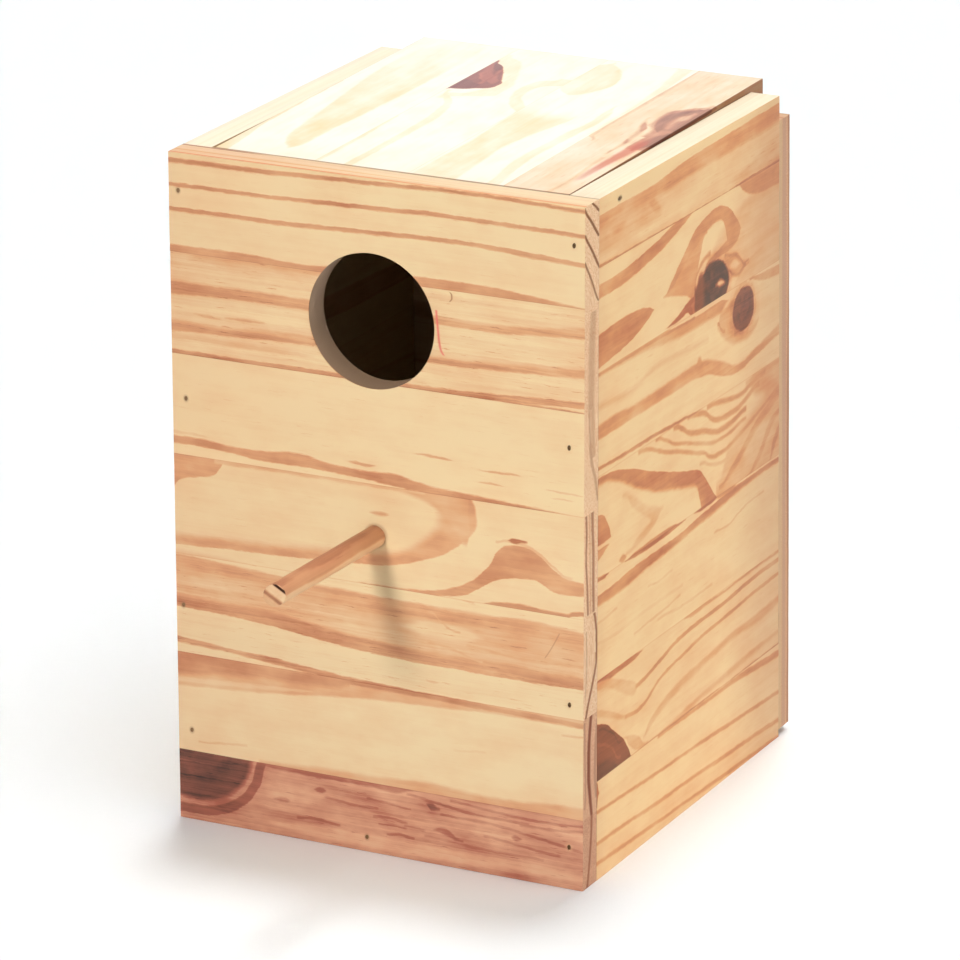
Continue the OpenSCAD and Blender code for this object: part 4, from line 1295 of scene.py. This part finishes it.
def entranceBore(panel):
    mount = next(mount for mount in frame["record"]["mounts"] if mount["name"] == "entrance")
    centre = inPanel(panel, Vector(mount["pos_m"]))
    radius = mount["dims"]["r_mm"] + 0.3
    return {"along": centre.x, "across": centre.y, "radiusAlong": radius, "radiusAcross": radius,
            "soft": 0.004, "upper": srgb(200, 172, 146), "lower": srgb(178, 144, 114)}


def ringCentre(points):
    return sum(points, Vector()) / len(points)


def measurePanel(prefix, panel):
    # the panel's boards, its size and how far its far end leans
    panel["names"] = sorted(name for name in nodes if name.startswith(prefix))
    corners = [inPanel(panel, vertex.co) for name in panel["names"] for vertex in nodes[name].data.vertices]
    size = Vector([max(corner[axis] for corner in corners) for axis in range(3)])
    farTop = max(corner.x for corner in corners if corner.y < 1)
    farFoot = max(corner.x for corner in corners if corner.y > size.y - 1)
    panel.update({"size": size, "length": size.x, "thick": size.z, "farTop": farTop,
                  "farSlope": (farFoot - farTop) / size.y, "drawn": panel.get("drawn", size.x)})


for prefix, panel in panels.items():
    measurePanel(prefix, panel)
panels["front_stave"]["bore"] = entranceBore(panels["front_stave"])
perchPoints = [vertex.co for vertex in nodes["perch"].data.vertices]
perchTip = ringCentre([point for point in perchPoints if point.y < frontLow.y])
perchEnd = ringCentre([point for point in perchPoints if point.y > frontLow.y])
perchAxis = (perchEnd - perchTip).normalized()
perchSide = perchAxis.cross(Vector((0, 0, 1))).normalized()
perchUp = perchSide.cross(perchAxis)
perchRoot = inPanel(panels["front_stave"], perchTip + perchAxis * (frontLow.y - perchTip.y) / perchAxis.y)
# painted shade: a darker ring around the perch's root, off to its upper right, where the gap round the dowel
# is
panels["front_stave"]["spots"] = [
    {"along": perchRoot.x + 0.5, "across": perchRoot.y - 0.5, "radiusAlong": 6.2, "radiusAcross": 6.2,
     "soft": 0.3, "strength": 0.45, "color": srgb(166, 116, 84)}]

for prefix, panel in panels.items():
    spots = nailSpots(panel) + panel.get("spots", [])
    for index, name in enumerate(panel["names"]):
        corners = [inPanel(panel, vertex.co) for vertex in nodes[name].data.vertices]
        top = min(corner.y for corner in corners)
        bottom = max(corner.y for corner in corners)
        seed = panel["seed"] + index
        if panel["figures"]:
            figure = panel["figures"][index]
        else:
            figure = quietFigure(seed, top, bottom, panel["drawn"])
        if panel.get("joints"):
            figure["span"] = panel["joints"][index:index + 2]
        palette = {**panel["palette"], **figure.get("palette", {})}
        onBoard = [spot for spot in spots if top - 3 < spot["across"] < bottom + 3]
        material = makeStaveMaterial(name + " wood", panel, figure, top, bottom, seed, palette, onBoard)
        mesh = easeStave(name, panel)
        closeNailHoles(mesh, panel, onBoard)
        piece = finishMesh(mesh, name + "_board", material)
        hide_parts(name)
        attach(piece, panel["body"])
    print(prefix, "made:", len(panel["names"]), "boards")


# the perch and the fastenings

def makeDowelMaterial():
    # the dowel was sawn with its rings nearly level: brown on top, pale below, cream at the tip
    lean = math.radians(dowel["ringLean"])
    material, shader, where = startWood(
        "dowel wood", perchTip, perchAxis, perchSide * math.sin(lean) + perchUp * math.cos(lean),
        perchSide * math.cos(lean) - perchUp * math.sin(lean))
    fibre = placeGroup(fibreGroup, {
        "Along": where["Along"], "Across": where["Across"], "Depth": where["Depth"], "Seed": 5.0})
    # the brown ring shows on the upper side of the shaft
    turn = math.radians(dowel["ringLean"] + dowel["topLean"])
    level = where["Across"] * math.cos(turn) - where["Depth"] * math.sin(turn)
    level = level + (fibre["Mottle"] - 0.5) * 3.0
    tone = blendValue(ease(level, 0.2, 1.8), 0.3, 0.74)
    tone = blendValue(ease(level, 3.9, 4.7), tone, 1.0)
    tip = where["End"] * (1.0 - ease(where["Along"], 6, 8))
    # painted shade: a dark line across the tip's upper part, where a crack is
    crackShade = stripe(where["Across"], 3.6, 0.5, 0.4)
    cream = stripe(where["Across"], 1.4, 1.5, 0.6)
    ring = stripe(where["Across"], -1.3, 0.6, 0.9)
    tipTone = blendValue(ring, 0.4 - cream * 0.2, 1.12)
    tone = blendValue(tip, tone, blendValue(crackShade, tipTone, 2.2))
    wood = placeGroup(pineColour, {
        **fibre, **dowel["palette"], "Tone": tone, "End": 0.0, "Streaks": 0.5, "Dashes": 0.3})
    finishWood(shader, wood["Color"], wood)
    return material


def makePerch():
    mesh = weldedCopy("perch", flatWithin=0.5)
    rim = [edge for edge in mesh.edges
           if len(edge.link_faces) == 2 and edge.calc_face_angle(0) > math.radians(60)]
    bmesh.ops.bevel(mesh, geom=rim, offset=dowel["tipEase"] * mm, segments=3, profile=0.5, affect="EDGES")
    # the tip is sawn off askew: it looks a little to the right and up
    radius = max((point - perchTip).dot(perchUp) for point in perchPoints if point.y < frontLow.y)
    for vertex in mesh.verts:
        fromTip = vertex.co - perchTip
        if fromTip.dot(perchAxis) < 0.001:
            skew = (fromTip.dot(perchSide) + radius) * math.tan(math.radians(dowel["tipTurn"]))
            skew += (fromTip.dot(perchUp) + radius) * math.tan(math.radians(dowel["tipLift"]))
            vertex.co += perchAxis * (skew + 0.0001 * abs(noise.noise(vertex.co * 900)))
    piece = finishMesh(mesh, "perch_dowel", makeDowelMaterial())
    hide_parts("perch")
    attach(piece, "box")


def makeSteel(name, tones):
    material, shader = startMaterial(name)
    shader["Specular IOR Level"].default_value = 0.15
    shader["Metallic"].default_value = 0.1
    place = Value(addNode(material.node_tree, "TexCoord").outputs["Object"])
    grime = noiseValue(derive("VectorMath", {0: place, "Scale": 1400}, operation="SCALE"), 3.0, 0.6)
    color = blendColor(ease(grime, 0.35, 0.65), tones[0], tones[1])
    # the nails on the left are paler
    leftPaler = ease(parts(place, "XYZ")[0], 0.01, -0.01) * 0.7
    plug(blendColor(leftPaler, color, tones[2]), shader["Base Color"])
    plug(grime * 0.4 + 0.35, shader["Roughness"])
    roughen(shader, grime, 0.4)
    return material


dowel = {"ringLean": 34, "topLean": -9, "tipEase": 0.4, "tipTurn": 14, "tipLift": 7,
         "palette": {"Pale": srgb(240, 212, 170), "Tan": srgb(212, 158, 116), "Brown": srgb(178, 122, 90),
                     "Dark": srgb(56, 34, 22), "End pale": srgb(230, 200, 160)}}
makePerch()
steel = makeSteel("nail steel", (srgb(76, 54, 32), srgb(116, 84, 52), srgb(148, 114, 80)))
for name in nodes:
    if "nails" in name or "pin" in name:
        data = nodes[name].data
        data.materials.clear()
        data.materials.append(steel)
print("perch and fastenings dressed")


# floor, light and camera

def makeStudio():
    bpy.ops.mesh.primitive_grid_add(x_subdivisions=2, y_subdivisions=2, size=12, location=(0, 0, 0))
    ground = bpy.context.object
    ground.name = "studio_floor"
    material, shader = startMaterial("studio white")
    sight = Value(addNode(material.node_tree, "LightPath").outputs["Is Camera Ray"])
    for label, value in {"Base Color": (0.96, 0.98, 0.985, 1), "Roughness": 0.9,
                         "Specular IOR Level": 0.0, "Emission Color": (1, 1, 1, 1),
                         "Emission Strength": sight * studio["floorLift"]}.items():
        plug(value, shader[label])
    ground.data.materials.append(material)

    world = bpy.data.worlds.new("studio")
    bpy.context.scene.world = world
    world.use_nodes = True
    background = world.node_tree.nodes["Background"].inputs
    background["Color"].default_value = (1, 1, 1, 1)
    path = addNode(world.node_tree, "LightPath").outputs
    rays = [Value(path["Is %s Ray" % kind]) for kind in ("Camera", "Glossy", "Transmission")]
    seen = calc("MAXIMUM", rays[0], calc("MAXIMUM", rays[1], rays[2]))
    plug(blendValue(seen, studio["ambient"], 1.0), background["Strength"])

    # most lamps are flagged off the floor, which keeps a soft shadow of its own
    flagged = {}
    for label, state in (("box", "EXCLUDE"), ("floor", "INCLUDE")):
        flagged[label] = bpy.data.collections.new("lights the " + label)
        flagged[label].objects.link(ground)
        flagged[label].collection_objects[0].light_linking.link_state = state
    for name, lamp in studio["lamps"].items():
        data = bpy.data.lights.new(name, "SUN")
        data.angle = math.radians(lamp["spread"])
        data.energy = lamp["level"] * math.pi
        light = bpy.data.objects.new(name, data)
        light.rotation_mode = "QUATERNION"
        light.rotation_quaternion = Vector(lamp["from"]).to_track_quat("Z", "Y")
        light.location = Vector(lamp["from"]) * 2
        light.visible_camera = False
        if lamp["lights"] in flagged:
            light.light_linking.receiver_collection = flagged[lamp["lights"]]
        bpy.context.scene.collection.objects.link(light)


def makeCamera():
    turn = math.radians(camera["azimuth"])
    lift = math.radians(camera["elevation"])
    roll = math.radians(camera["roll"])
    forward = Vector((-math.sin(turn) * math.cos(lift), math.cos(turn) * math.cos(lift), -math.sin(lift)))
    right = Vector((math.cos(turn), math.sin(turn), 0))
    up = right.cross(forward)
    rolledRight = right * math.cos(roll) + up * math.sin(roll)
    rolledUp = up * math.cos(roll) - right * math.sin(roll)
    matrix = Matrix((rolledRight, rolledUp, -forward)).transposed()
    data = bpy.data.cameras.new("camera")
    data.lens = camera["lens"]
    data.sensor_width = 36
    data.clip_start = 0.1
    view = bpy.data.objects.new("camera", data)
    view.rotation_mode = "QUATERNION"
    view.rotation_quaternion = matrix.to_quaternion()
    view.location = camera["place"]
    bpy.context.scene.collection.objects.link(view)
    bpy.context.scene.camera = view


studio = {
    "ambient": 0.20,
    "floorLift": 0.03,      # only the eye sees this much more white on the floor
    "lamps": {      # each is a broad light: where it comes from, how wide, how strong
        "strip": {"from": (-0.12, -0.84, 0.53), "spread": 11, "level": 0.54, "lights": "box"},
        "overhead": {"from": (-0.04, 0.195, 0.98), "spread": 11, "level": 0.43, "lights": "all"},
        "side fill": {"from": (1.0, 0.05, 0.35), "spread": 50, "level": 0.50, "lights": "box"},
        "front fill": {"from": (0.3, -1.0, 0.12), "spread": 60, "level": 0.055, "lights": "box"},
        "rear fill": {"from": (-0.6, 1.0, 0.12), "spread": 70, "level": 0.28, "lights": "box"},
        "floor wash": {"from": (0.30, -0.10, 0.95), "spread": 32, "level": 0.36, "lights": "floor"},
        "floor top": {"from": (-0.04, 0.195, 0.98), "spread": 14, "level": 0.06, "lights": "floor"},
    },
}
camera = {"place": (1.1238, -2.2618, 0.9833), "azimuth": 26.516, "elevation": 18.536, "roll": -0.119,
          "lens": 229.0}

makeStudio()
makeCamera()
scene = bpy.context.scene
scene.view_settings.view_transform = "Standard"
print("studio and camera ready")
